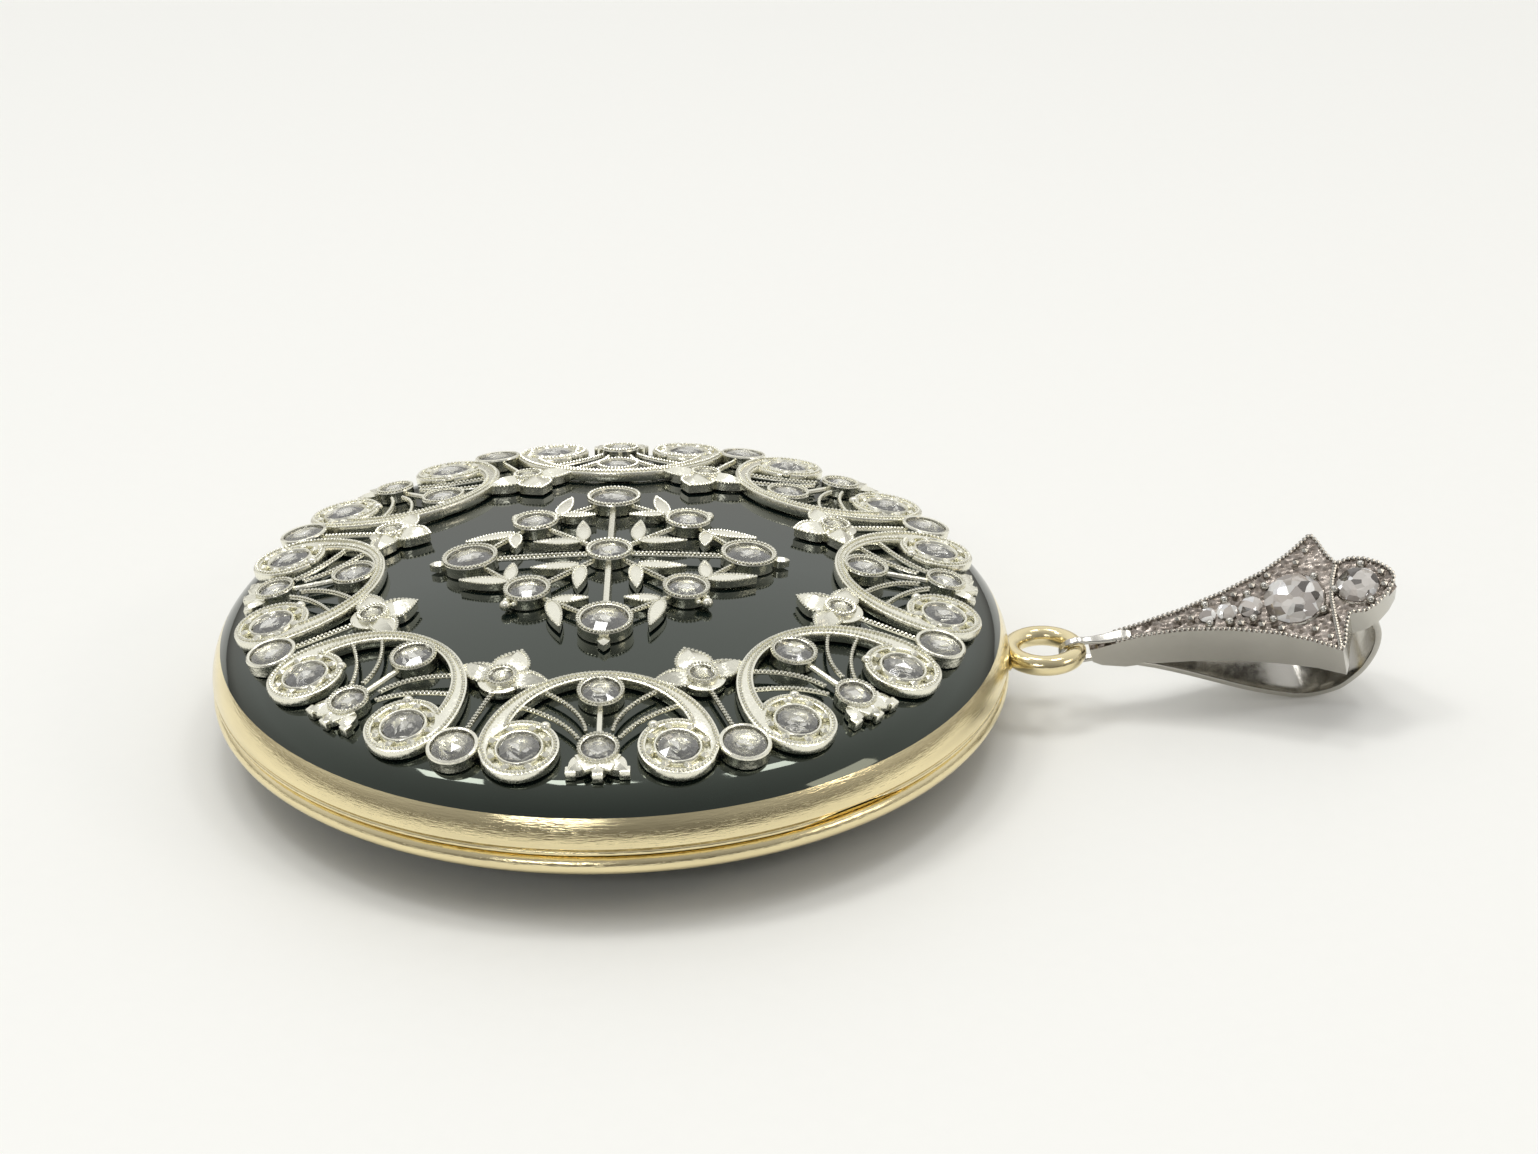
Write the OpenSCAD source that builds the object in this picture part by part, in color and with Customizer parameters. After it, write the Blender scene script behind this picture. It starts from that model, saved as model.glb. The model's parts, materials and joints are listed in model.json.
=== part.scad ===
// Round hinged locket: two domed covers of black enamel on gold, an openwork
// garland and lozenge of platinum set with stones, and a stone-set bail.
// Frame: origin on the flat of the back cover, +Z through both covers,
// +X towards the bail and +Y towards the hinge. Millimetres.

/* [Case] */
// Outer diameter of the case
case_d = 36; // [32:0.5:44]
// Radius of curvature of both covers
dome_r = 66; // [56:1:80]
// Radius of the shoulder between the front cover and its rim
shoulder_r = 2.64; // [2.2:0.02:3.2]
// Height of the front rim's widest point above the seam
shoulder_lift = 0.17; // [0:0.01:0.4]
// Height of the enamel's edge above the seam
enamel_edge = 1.63; // [1.3:0.01:1.9]
// Gap between the two rims
seam_gap = 0.12; // [0.08:0.01:0.2]
// Height of the half-round back rim
back_rim_h = 0.86; // [0.8:0.01:1.2]
// Radial depth of the back rim
back_rim_w = 0.95; // [0.85:0.01:1.2]
// Radius of the flat that the locket rests on
rest_r = 3; // [2:0.1:5]

/* [Layers] */
// Thickness of the enamel
enamel_t = 0.35; // [0.25:0.01:0.45]
// Thickness of the gold pan under the enamel
pan_t = 0.35; // [0.25:0.01:0.45]
// Thickness of the snap bezel that the front rim closes over
bezel_t = 0.3; // [0.2:0.01:0.4]
// Height of the snap bezel above the seam
bezel_h = 0.9; // [0.6:0.05:1.1]
// Thickness of a photograph
photo_t = 0.15; // [0.1:0.01:0.25]
// Thickness of a cover glass
glass_t = 0.3; // [0.2:0.01:0.4]
// Thickness of a photo frame's lip
lip_t = 0.25; // [0.2:0.01:0.35]
// Width of a photo frame's lip over the glass
lip_w = 0.5; // [0.3:0.05:0.8]
// Thickness of a photo frame's wall
frame_wall = 0.3; // [0.25:0.01:0.45]
// Clearance of a piece that pushes in or lies in a seat
seat_clear = 0.05; // [0.03:0.01:0.1]

/* [Hinge] */
// Radius of the hinge barrel
barrel_r = 0.8; // [0.7:0.01:0.9]
// Radius of the hinge pin
hinge_pin_r = 0.3; // [0.25:0.01:0.4]
// Radial clearance of the pin in the front knuckle
hinge_run = 0.03; // [0.02:0.01:0.08]
// Clearance between the barrel and the rims
barrel_clear = 0.1; // [0.08:0.01:0.3]
// Length of the front knuckle
front_knuckle_l = 1.8; // [1.4:0.1:3]
// Length of each back knuckle
back_knuckle_l = 1.6; // [1.2:0.1:3]
// End gap between knuckles
knuckle_gap = 0.06; // [0.04:0.01:0.12]
// Width of the thumbnail nick in the front rim
nick_w = 6.5; // [4:0.5:9]
// Height of the thumbnail nick
nick_h = 0.26; // [0.15:0.01:0.4]
// Direction of the thumbnail nick from the bail
nick_angle = -54; // [-80:1:-20]

/* [Openwork] */
// Gap between the enamel and the openwork
standoff = 0.12; // [0.05:0.01:0.3]
// Thickness of the bars and wires
wire_t = 0.3; // [0.2:0.01:0.4]
// Width of the bars and wires
wire_w = 0.24; // [0.18:0.01:0.35]
// Thickness of the arches and leaves
plate_t = 0.42; // [0.3:0.01:0.5]
// Height of the stone collets
collet_h = 0.56; // [0.5:0.01:0.8]
// Thickness of a collet's wall
collet_wall = 0.16; // [0.12:0.01:0.25]
// Thickness of a collet's floor
collet_floor = 0.14; // [0.1:0.01:0.2]
// How deep soldered pieces run into each other
solder = 0.05; // [0.03:0.01:0.08]
// Radius of the rivets that hold the openwork
rivet_r = 0.28; // [0.2:0.01:0.35]
// Clearance of the rivets in the cover
rivet_clear = 0.05; // [0.03:0.01:0.1]

/* [Garland] */
// Number of arches round the garland
arches = 8; // [8:1:8]
// Distance of the outer collets' centres from the case's edge
ring_inset = 2.42; // [2.2:0.01:3]
// Outer radius of the collets between the arches
ring_collet_r = 1.08; // [0.9:0.01:1.2]
// Distance of the arches' centres inside the outer collets' ring
arch_inset = 0.52; // [0.3:0.01:0.9]
// Thickness of an arch at its top
arch_top = 0.36; // [0.3:0.01:0.5]
// How much smaller the arch's inner curve is
arch_taper = 1.05; // [0.9:0.01:1.2]
// Radius of a scroll's head
scroll_r = 1.58; // [1.4:0.01:1.7]
// Radius of a scroll's stone
scroll_stone_r = 0.95; // [0.8:0.01:1.1]
// Outer radius of the collet under the arch's top
apex_collet_r = 1.0; // [0.85:0.01:1.1]
// Outer radius of the collet at the arch's foot
base_collet_r = 0.9; // [0.8:0.01:1]
// Outer radius of a trefoil's collet
trefoil_collet_r = 0.85; // [0.75:0.01:0.95]
// Distance of the trefoils' centres inside the outer collets' ring
trefoil_inset = 4.6; // [4.2:0.01:5.2]
// Length of a trefoil's inner leaf from the stone's centre
trefoil_leaf = 1.95; // [1.6:0.01:2.2]

/* [Lozenge] */
// Distance of the corner stones from the centre
corner_at = 6.19; // [5.8:0.01:6.6]
// Distance of the side stones from the centre
side_at = 4.9; // [4.6:0.01:5.2]
// Outer radius of the centre collet
centre_collet_r = 1.02; // [0.9:0.01:1.2]
// Outer radius of a corner collet
corner_collet_r = 1.24; // [1.1:0.01:1.35]
// Outer radius of a side collet
side_collet_r = 1.04; // [0.9:0.01:1.15]
// Distance of the corner tips from the centre
corner_tip = 7.97; // [7.7:0.01:8.4]

/* [Loop and bail] */
// Distance of the loop's centre outside the case
loop_out = 1.6; // [1.5:0.05:2]
// Radius of the loop's centre line
loop_r = 1.5; // [1.45:0.01:1.8]
// Radius of the loop's wire
loop_wire_r = 0.46; // [0.4:0.01:0.5]
// Radial clearance of the loop's wire in the bail's eye
eye_clear = 0.34; // [0.3:0.01:0.44]
// Thickness of the eye's band
eye_t = 0.26; // [0.2:0.01:0.35]
// Width of the eye's band
eye_w = 0.6; // [0.5:0.01:0.7]
// Upward pitch of the bail at rest
bail_pitch = 14.3; // [10:0.1:18]
// Roll of the bail at rest
bail_roll = 27; // [20:0.5:28]
// Length of the bail from the eye to its tip
bail_l = 14.7; // [13:0.1:17]
// Half the width across the bail's ears
ear_w = 3.35; // [2.8:0.05:3.8]
// Depth of the bail's side wall at the ears
wall_d = 2; // [1.6:0.05:2.2]
// Thickness of the bail's front plate
bail_plate_t = 0.5; // [0.4:0.05:0.7]
// Thickness of the bail's walls
bail_wall_t = 0.35; // [0.3:0.05:0.5]
// Thickness of the bail's strap
strap_t = 0.32; // [0.25:0.01:0.4]
// Radius of the strap's curve
strap_r = 3; // [2.7:0.05:3.1]
// Radius of the bail's main stone
main_stone_r = 1.35; // [1.1:0.05:1.4]
// Radius of the petal's stone
petal_stone_r = 0.95; // [0.8:0.05:1]
// Radius of the largest of the three small stones
taper_stone_r = 0.56; // [0.45:0.01:0.6]

/* [Hidden] */
$fn = 96;

GOLD = "#E3BE6A";
PLATINUM = "#C9C8C2";
ENAMEL = "#10161A";
STONE = "#DDE3E4";

case_r = case_d / 2;
cover_t = enamel_t + pan_t;
eps = 0.01;

// Heights: the back dome ends at the back rim, and the seam is above that rim.
function sag(r) = dome_r - sqrt(dome_r * dome_r - r * r);
back_edge_r = case_r - back_rim_w;
back_drop = sag(rest_r);
rim_step = 0.1;
rim_low = sag(back_edge_r) - back_drop + rim_step;
back_top = rim_low + back_rim_h;
seam_z = back_top + seam_gap / 2;
front_low = seam_z + seam_gap / 2;
enamel_edge_z = seam_z + enamel_edge;

// The shoulder's circle touches the case's outside and the front dome.
shoulder_x = case_r - shoulder_r;
shoulder_z = seam_z + shoulder_lift;
dome_z = shoulder_z - sqrt(pow(dome_r - shoulder_r, 2) - pow(shoulder_x, 2));
crown_z = dome_z + dome_r;
function dome_top(r) = dome_z + sqrt(dome_r * dome_r - r * r);
// Heights of the pans' inner faces at distance r.
function front_inside(r) = dome_z + sqrt(pow(dome_r - cover_t, 2) - r * r);
function back_inside(r) = dome_r - back_drop - sqrt(pow(dome_r - cover_t, 2) - r * r);

// The photo stack: the snap bezel stands outside both photo frames.
bezel_r = back_edge_r;
back_frame_r = bezel_r - bezel_t - seat_clear;
back_frame_low = back_inside(back_frame_r) + seat_clear;
back_frame_side = 1.05;
back_photo_r = back_frame_r - back_frame_side - seat_clear;
back_photo_z = back_inside(back_photo_r) + eps;
back_frame_top = back_photo_z + photo_t + glass_t + eps + lip_t;
front_frame_r = back_frame_r - 0.35;
front_frame_low = max(back_frame_top, front_low) + seam_gap;
seat_wall = 0.25;
front_photo_r = front_frame_r - frame_wall - seat_clear;
seat_low = seam_z + bezel_h + 0.15;
front_frame_top = seat_low + 0.45;

// The hinge lies outside the rims, level with the seam.
hinge_y = case_r + barrel_r + barrel_clear;
front_half_l = front_knuckle_l / 2;
back_knuckle_at = front_half_l + knuckle_gap;

// The garland's rings and the arch between two outer collets.
pitch = 360 / arches;
ring_r = case_r - ring_inset;
arch_at = ring_r - arch_inset;
arch_r = norm([ring_r * sin(pitch / 2), ring_r * cos(pitch / 2) - arch_at]) - ring_collet_r + solder;
arch_in_r = arch_r - arch_taper;
arch_in_at = arch_at - arch_r + arch_top + arch_in_r;
scroll_at = [arch_r - 1.74, arch_at - 0.33];
base_at = arch_at - 0.09;
apex_at = arch_in_at - arch_in_r + apex_collet_r - solder;
trefoil_at = ring_r - trefoil_inset;
rib_angles = [-49, -32, 32, 49];
leaf_dir = -8;

// The bail hangs with its eye round the loop's wire, and its stones lie along its centre line.
eye_r = loop_wire_r + eye_clear;
bail_x0 = case_r + loop_out + loop_r;
bail_z0 = shoulder_z - 0.28;
ear_x = bail_l - 3.15;
notch_x = bail_l - 2.4;
notch_w = 1.45;
main_x = bail_l - 4.63;
petal_x = main_x + main_stone_r + petal_stone_r + 0.63;
taper_x = main_x - main_stone_r - taper_stone_r - 0.07;
taper_at = [
  [taper_x, 1], [taper_x - taper_stone_r * 1.91, 0.86], [taper_x - taper_stone_r * 3.52, 0.72]
];
strap_c = [bail_l - 4.24, -2.25];
strap_from = [2.6, -1.7];
strap_end = 20;

// Height of the bail's arched front above the line from its eye to its tip.
function crest(x) = let (u = x / bail_l) 4 * u * (1 - u) * (0.22 + 0.55 * (1 - 2 * u));

function turned(a) = [cos(a), sin(a)];
// Distance along direction a from point p to the near or far side of a circle.
function reach(p, a, c, r, side) =
  let (d = c - p, along = d * turned(a))
  along + side * sqrt(r * r - (d * d - along * along));

// ---- shapes that several pieces use ----

// Half section of everything under the front cover's skin.
module front_section(inset, low) {
  r = dome_r - inset;
  join_x = shoulder_x * r / (dome_r - shoulder_r);
  intersection() {
    translate([0, dome_z]) circle(r, $fn = 720);
    translate([0, low]) square([join_x, crown_z]);
  }
  translate([shoulder_x, shoulder_z]) circle(shoulder_r - inset);
  translate([0, low]) square([case_r - inset, shoulder_z - low]);
}

// A layer of the front cover between two depths, from height low to high.
module front_layer(outer, inner, low, high) {
  rotate_extrude($fn = 180) intersection() {
    difference() {
      front_section(outer, low);
      front_section(inner, low - 1);
    }
    translate([0, low]) square([case_r + 1, high - low]);
  }
}

// A layer of the back cover between two depths, out to radius r.
module back_layer(outer, inner, r) {
  rotate_extrude($fn = 180) intersection() {
    difference() {
      translate([0, dome_r - back_drop]) circle(dome_r - outer, $fn = 720);
      translate([0, dome_r - back_drop]) circle(dome_r - inner, $fn = 720);
    }
    square([r, back_top]);
  }
}

module ring(outer, inner, low, high) {
  translate([0, 0, low]) difference() {
    cylinder(r = outer, h = high - low, $fn = 180);
    translate([0, 0, -1]) cylinder(r = inner, h = high - low + 2, $fn = 180);
  }
}

module disc(r, low, t) {
  translate([0, 0, low]) cylinder(r = r, h = t, $fn = 180);
}

// Bends a flat outline over the front dome, t thick.
module on_dome(t) {
  intersection() {
    translate([0, 0, crown_z - 4]) linear_extrude(6) children();
    translate([0, 0, dome_z]) difference() {
      sphere(dome_r + standoff + t, $fn = 360);
      sphere(dome_r + standoff, $fn = 360);
    }
  }
}

module repeat(first) {
  for (i = [0 : arches - 1]) rotate(first + i * pitch) children();
}

// Stands its children on the front dome, square to it, with the openwork's middle at distance r.
module stand(r) {
  tilt = asin(r / (dome_r + standoff + wire_t / 2));
  translate([0, 0, dome_z]) rotate([0, tilt, 0]) translate([0, 0, dome_r]) children();
}

// A straight flat bar between two points.
module bar(from, to, w) {
  d = to - from;
  translate(from) rotate(atan2(d.y, d.x)) translate([0, -w / 2]) square([norm(d), w]);
}

// A pointed leaf from the origin along +X.
module leaf(l, w) {
  r = (l * l / 4 + w * w / 4) / w;
  intersection() {
    translate([l / 2, r - w / 2]) circle(r);
    translate([l / 2, w / 2 - r]) circle(r);
  }
}

module collet(r) {
  translate([0, 0, standoff]) difference() {
    cylinder(r = r, h = collet_h, $fn = 48);
    translate([0, 0, collet_floor]) cylinder(r = r - collet_wall, h = collet_h, $fn = 48);
  }
}

// A low rose-cut stone that fills a collet of outer radius r.
module rose_stone(r) {
  stone_r = r - collet_wall - eps;
  low = standoff + collet_floor + eps;
  domed(stone_r, low, collet_h - collet_floor + 0.08);
}

// A round stone with a domed top.
module domed(r, low, h) {
  cap = min(0.28, r / 2);
  ball = (r * r + cap * cap) / (2 * cap);
  translate([0, 0, low]) intersection() {
    cylinder(r = r, h = h, $fn = 48);
    translate([0, 0, h - ball]) sphere(ball, $fn = 96);
  }
}

module in_bail() {
  translate([bail_x0, 0, bail_z0]) rotate([0, -bail_pitch, 0]) rotate([bail_roll, 0, 0]) children();
}

// ---- back half ----

module back_rim() {
  color(GOLD) rotate_extrude($fn = 180) {
    translate([case_r - back_rim_h / 2, rim_low + back_rim_h / 2]) circle(back_rim_h / 2);
    translate([back_edge_r, rim_low]) square([back_rim_w - back_rim_h / 2, back_rim_h]);
  }
}

module back_panel() {
  color(ENAMEL) back_layer(0, enamel_t, back_edge_r);
}

module back_pan() {
  color(GOLD) back_layer(enamel_t, cover_t, back_edge_r);
}

module snap_bezel() {
  low = back_inside(bezel_r) + eps;
  color(GOLD) ring(bezel_r, bezel_r - bezel_t, low, seam_z + bezel_h);
}

module back_photo() {
  color("#C8B79A") disc(back_photo_r, back_photo_z, photo_t);
}

module back_glass() {
  color("#CFE3E8") disc(back_photo_r, back_photo_z + photo_t, glass_t);
}

module back_photo_frame() {
  lip_z = back_frame_top - lip_t;
  color(GOLD) difference() {
    ring(back_frame_r, back_photo_r - lip_w, back_frame_low, back_frame_top);
    translate([0, 0, back_frame_low - 1])
      cylinder(r = back_photo_r + seat_clear, h = lip_z - back_frame_low + 1, $fn = 180);
  }
}

module knuckle(l, low, high) {
  difference() {
    union() {
      translate([-l / 2, hinge_y, seam_z]) rotate([0, 90, 0]) cylinder(r = barrel_r, h = l, $fn = 48);
      translate([-l / 2, case_r - 0.5, low]) cube([l, hinge_y - case_r + 0.5, high - low]);
    }
    children();
  }
}

module hinge_bore(r) {
  translate([-10, hinge_y, seam_z]) rotate([0, 90, 0]) cylinder(r = r, h = 20, $fn = 48);
}

module back_knuckles() {
  color(GOLD) for (side = [-1, 1])
    translate([side * (back_knuckle_at + back_knuckle_l / 2), 0, 0])
      knuckle(back_knuckle_l, rim_low + 0.17, back_top - 0.02) hinge_bore(hinge_pin_r);
}

module hinge_pin() {
  l = 2 * (back_knuckle_at + back_knuckle_l) + 0.1;
  color("#C6CACC") translate([-l / 2, hinge_y, seam_z]) rotate([0, 90, 0])
    cylinder(r = hinge_pin_r, h = l, $fn = 48);
}

module pendant_loop() {
  color(GOLD) difference() {
    translate([case_r + loop_out, 0, bail_z0]) rotate_extrude($fn = 72)
      translate([loop_r, 0]) circle(loop_wire_r, $fn = 36);
    translate([0, 0, back_top - 0.02]) cylinder(r = case_r + 0.1, h = 5, $fn = 180);
    translate([0, 0, -1]) cylinder(r = case_r - back_rim_h / 2, h = 9, $fn = 180);
  }
}

// ---- front half ----

module rivet_holes() {
  r = rivet_r + rivet_clear;
  repeat(0) translate([base_at, 0, crown_z - 6]) cylinder(r = r, h = 8, $fn = 32);
  for (a = [45 : 90 : 315]) rotate(a) translate([side_at, 0, crown_z - 6]) cylinder(r = r, h = 8, $fn = 32);
}

module front_rim() {
  pan_low = enamel_edge_z - pan_t;
  nick_r = (nick_w * nick_w / 4 + nick_h * nick_h) / (2 * nick_h);
  color(GOLD) difference() {
    front_layer(0, cover_t, front_low, enamel_edge_z);
    front_layer(enamel_t, cover_t + 1, pan_low, crown_z);
    rotate(nick_angle) translate([case_r - 0.45, 0, front_low + nick_h - nick_r])
      rotate([0, 90, 0]) cylinder(r = nick_r, h = 2, $fn = 180);
  }
}

module front_panel() {
  color(ENAMEL) difference() {
    front_layer(0, enamel_t, enamel_edge_z, crown_z + 1);
    rivet_holes();
  }
}

module front_pan() {
  outer = front_frame_r + seat_clear + seat_wall;
  color(GOLD) difference() {
    union() {
      front_layer(enamel_t, cover_t, enamel_edge_z - pan_t, crown_z + 1);
      intersection() {
        ring(outer, front_frame_r + seat_clear, seat_low, crown_z);
        rotate_extrude($fn = 180) front_section(enamel_t + pan_t / 2, seam_z);
      }
    }
    rivet_holes();
  }
}

module front_photo() {
  color("#C8B79A") disc(front_photo_r, front_frame_low + lip_t + glass_t + 2 * eps, photo_t);
}

module front_glass() {
  color("#CFE3E8") disc(front_photo_r, front_frame_low + lip_t + eps, glass_t);
}

module front_photo_frame() {
  lip_z = front_frame_low + lip_t;
  color(GOLD) difference() {
    ring(front_frame_r, front_photo_r - lip_w, front_frame_low, front_frame_top);
    translate([0, 0, lip_z]) cylinder(r = front_photo_r + seat_clear, h = 5, $fn = 180);
  }
}

module front_knuckle() {
  color(GOLD) knuckle(front_knuckle_l, front_low + 0.02, front_low + 0.6)
    hinge_bore(hinge_pin_r + hinge_run);
}

// ---- garland ----

// One arch, with the radial direction along +X.
module arch_outline() {
  difference() {
    translate([arch_at, 0]) circle(arch_r);
    translate([arch_in_at, 0]) circle(arch_in_r);
    translate([scroll_at.y, -arch_r - 1]) square([2 * arch_r, 2 * arch_r + 2]);
  }
  for (side = [-1, 1]) translate([scroll_at.y, side * scroll_at.x]) circle(scroll_r);
}

module garland_arches() {
  color(PLATINUM) difference() {
    on_dome(plate_t) repeat(0) difference() {
      arch_outline();
      for (side = [-1, 1])
        translate([scroll_at.y, side * scroll_at.x]) circle(scroll_stone_r + eps);
    }
  }
}

module garland_ribs() {
  foot = [base_at, 0];
  color(PLATINUM) on_dome(wire_t) repeat(0) {
    bar([apex_at + apex_collet_r - solder, 0], [base_at - base_collet_r + solder, 0], wire_w);
    for (a = rib_angles) {
      l = reach(foot, 180 + a, [arch_in_at, 0], arch_in_r, 1) + solder;
      bar(foot + (base_collet_r - solder) * turned(180 + a), foot + l * turned(180 + a), wire_w);
    }
  }
}

// The crown at an arch's foot: a band round the outside of its collet, on three feet.
module garland_crowns() {
  color(PLATINUM) on_dome(wire_t) repeat(0) {
    intersection() {
      translate([base_at, 0]) difference() {
        circle(base_collet_r + 0.25);
        circle(base_collet_r - solder);
      }
      translate([base_at, -2]) square([4, 4]);
    }
    for (a = [-48, 0, 48])
      bar([base_at, 0] + base_collet_r * turned(a), [base_at, 0] + (base_collet_r + 0.48) * turned(a), 0.4);
  }
}

module garland_trefoils() {
  centre = [trefoil_at, 0];
  arch_c = arch_at * turned(pitch / 2);
  dir = 90 - leaf_dir;
  side_l = reach(centre, dir, arch_c, arch_r, -1) + solder;
  ring_gap = ring_r - ring_collet_r + solder;
  color(PLATINUM) on_dome(wire_t) repeat(pitch / 2) difference() {
    union() {
      translate(centre) circle(trefoil_collet_r + 0.15);
      translate(centre) rotate(180) leaf(trefoil_leaf, 0.95);
      for (side = [-1, 1]) translate(centre) rotate(side * dir) leaf(side_l, 0.85);
      bar(centre, [ring_gap, 0], wire_w);
    }
    translate(centre) circle(trefoil_collet_r - solder);
  }
}

module garland_collets() {
  color(PLATINUM) repeat(pitch / 2) stand(ring_r) collet(ring_collet_r);
}

module apex_collets() {
  color(PLATINUM) repeat(0) stand(apex_at) collet(apex_collet_r);
}

module base_collets() {
  color(PLATINUM) repeat(0) stand(base_at) collet(base_collet_r);
}

module trefoil_collets() {
  color(PLATINUM) repeat(pitch / 2) stand(trefoil_at) collet(trefoil_collet_r);
}

module scroll_stones() {
  at_r = norm(scroll_at);
  a = atan2(scroll_at.x, scroll_at.y);
  color(STONE) repeat(0) for (side = [-1, 1]) rotate(side * a)
    stand(at_r) domed(scroll_stone_r - 0.06, standoff + 0.1, plate_t + 0.05);
}

module garland_stones() {
  color(STONE) repeat(pitch / 2) stand(ring_r) rose_stone(ring_collet_r);
}

module apex_stones() {
  color(STONE) repeat(0) stand(apex_at) rose_stone(apex_collet_r);
}

module base_stones() {
  color(STONE) repeat(0) stand(base_at) rose_stone(base_collet_r);
}

module trefoil_stones() {
  color(STONE) repeat(pitch / 2) stand(trefoil_at) rose_stone(trefoil_collet_r);
}

// A rivet from a collet's floor through the cover, with its head inside.
module rivet(r) {
  head_r = rivet_r + 0.25;
  head_h = 0.2;
  head_z = front_inside(r + head_r) - head_h - eps;
  translate([r, 0, head_z]) {
    cylinder(r = head_r, h = head_h, $fn = 32);
    cylinder(r = rivet_r, h = dome_top(r) + standoff + collet_floor / 2 - head_z, $fn = 32);
  }
}

module garland_rivets() {
  color(PLATINUM) repeat(0) rivet(base_at);
}

// ---- lozenge ----

bead_r = 0.26;
corner_angles = [0, 90, 180, 270];
side_angles = [45, 135, 225, 315];

module lozenge_frame() {
  color(PLATINUM) on_dome(wire_t) {
    for (a = corner_angles) rotate(a) {
      bar([centre_collet_r - solder, 0], [corner_at - corner_collet_r + solder, 0], wire_w);
      tip_from = corner_at + corner_collet_r - collet_wall;
      translate([tip_from, 0]) leaf(corner_tip - tip_from, 0.5);
    }
    for (a = side_angles) rotate(a) {
      bar([centre_collet_r - solder, 0], [side_at - side_collet_r + solder, 0], wire_w);
      translate([side_at + side_collet_r + bead_r - solder, 0]) circle(bead_r);
      for (side = [-1, 1]) {
        from = [side_at, 0];
        to = corner_at * turned(side * 45);
        d = (to - from) / norm(to - from);
        bar(from + d * (side_collet_r - solder), to - d * (corner_collet_r - solder), wire_w);
      }
    }
  }
}

module lozenge_leaves() {
  color(PLATINUM) on_dome(plate_t) for (a = side_angles) rotate(a) for (side = [-1, 1]) {
    translate([1.75, side * wire_w / 4]) rotate(side * 26) leaf(1.9, 0.6);
    translate([side_at, side * side_collet_r] * 0.995) rotate(side * 150) leaf(1.5, 0.6);
    translate([side_at + 0.1, side * (side_collet_r + 0.3)]) rotate(side * 60) leaf(1.8, 0.6);
  }
}

module lozenge_spots() {
  stand(0) children(0);
  for (a = corner_angles) rotate(a) stand(corner_at) children(1);
  for (a = side_angles) rotate(a) stand(side_at) children(2);
}

module lozenge_collets() {
  color(PLATINUM) lozenge_spots() {
    collet(centre_collet_r);
    collet(corner_collet_r);
    collet(side_collet_r);
  }
}

module lozenge_stones() {
  color(STONE) lozenge_spots() {
    rose_stone(centre_collet_r);
    rose_stone(corner_collet_r);
    rose_stone(side_collet_r);
  }
}

module lozenge_rivets() {
  color(PLATINUM) for (a = side_angles) rotate(a) rivet(side_at);
}

// ---- bail ----

function bail_outline(inset) = [
  for (side = [-1, 1]) for (p = side < 0 ? bail_side(inset) : bail_back(inset)) [p.x, side * p.y]
];
function bail_side(inset) = [
  [1.0 + inset, 0.3], [3, 0.36], [5, 0.62 - inset / 2],
  [7, 1.1 - inset], [9, 1.8 - inset], [ear_x - inset * 1.2, ear_w - inset * 1.5],
  [notch_x - inset * 0.4, notch_w - inset], [petal_x - inset * 0.4, notch_w + 0.08 - inset],
  [bail_l - 0.6 - inset * 0.6, 0.95 - inset * 0.8], [bail_l - inset * 1.2, 0.01]
];
function bail_back(inset) = let (p = bail_side(inset)) [for (i = [len(p) - 1 : -1 : 0]) p[i]];

module main_seat(r) {
  translate([main_x, 0, -3]) cylinder(r = r, h = 6, $fn = 48);
}

module petal_seat(r) {
  translate([petal_x, 0, -3]) cylinder(r = r, h = 6, $fn = 48);
}

module bail_plate() {
  top = [for (x = [0.9 : (bail_l - 0.8) / 12 : bail_l + 0.11]) [x, crest(x)]];
  under = [
    [bail_l + 0.2, -1.1], [petal_x, -wall_d * 0.7], [ear_x, -wall_d], [9, -wall_d - 0.3],
    [5, -wall_d - 0.2], [2, -wall_d + 0.1], [0.9, -0.7]
  ];
  color(PLATINUM) in_bail() difference() {
    intersection() {
      translate([0, 0, -3]) linear_extrude(4) polygon(bail_outline(0));
      translate([0, 5, 0]) rotate([90, 0, 0]) linear_extrude(10) polygon(concat(top, under));
    }
    intersection() {
      translate([0, 0, -3]) linear_extrude(3 - bail_plate_t) polygon(bail_outline(bail_wall_t));
      translate([6, -5, -4]) cube([20, 10, 4]);
    }
    main_seat(main_stone_r + eps);
    petal_seat(petal_stone_r + eps);
    for (t = taper_at)
      translate([t.x, 0, crest(t.x) - 0.25]) cylinder(r = taper_stone_r * t.y + eps, h = 1, $fn = 32);
    rotate([90, 0, 0]) cylinder(r = eye_r + eye_t / 2, h = 6, center = true, $fn = 48);
  }
}

// One face of the strap in the bail's XZ plane: a straight run, then a curl of 18 steps.
function strap_face(offset) =
  let (
    d = strap_c - strap_from,
    dir = atan2(d.y, d.x) - asin(strap_r / norm(d)),
    start = dir - 90,
    step = (strap_end - start) / 18
  )
  [
    strap_from + offset * turned(start),
    for (i = [0 : 18]) strap_c + (strap_r + offset) * turned(start + i * step)
  ];

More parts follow.
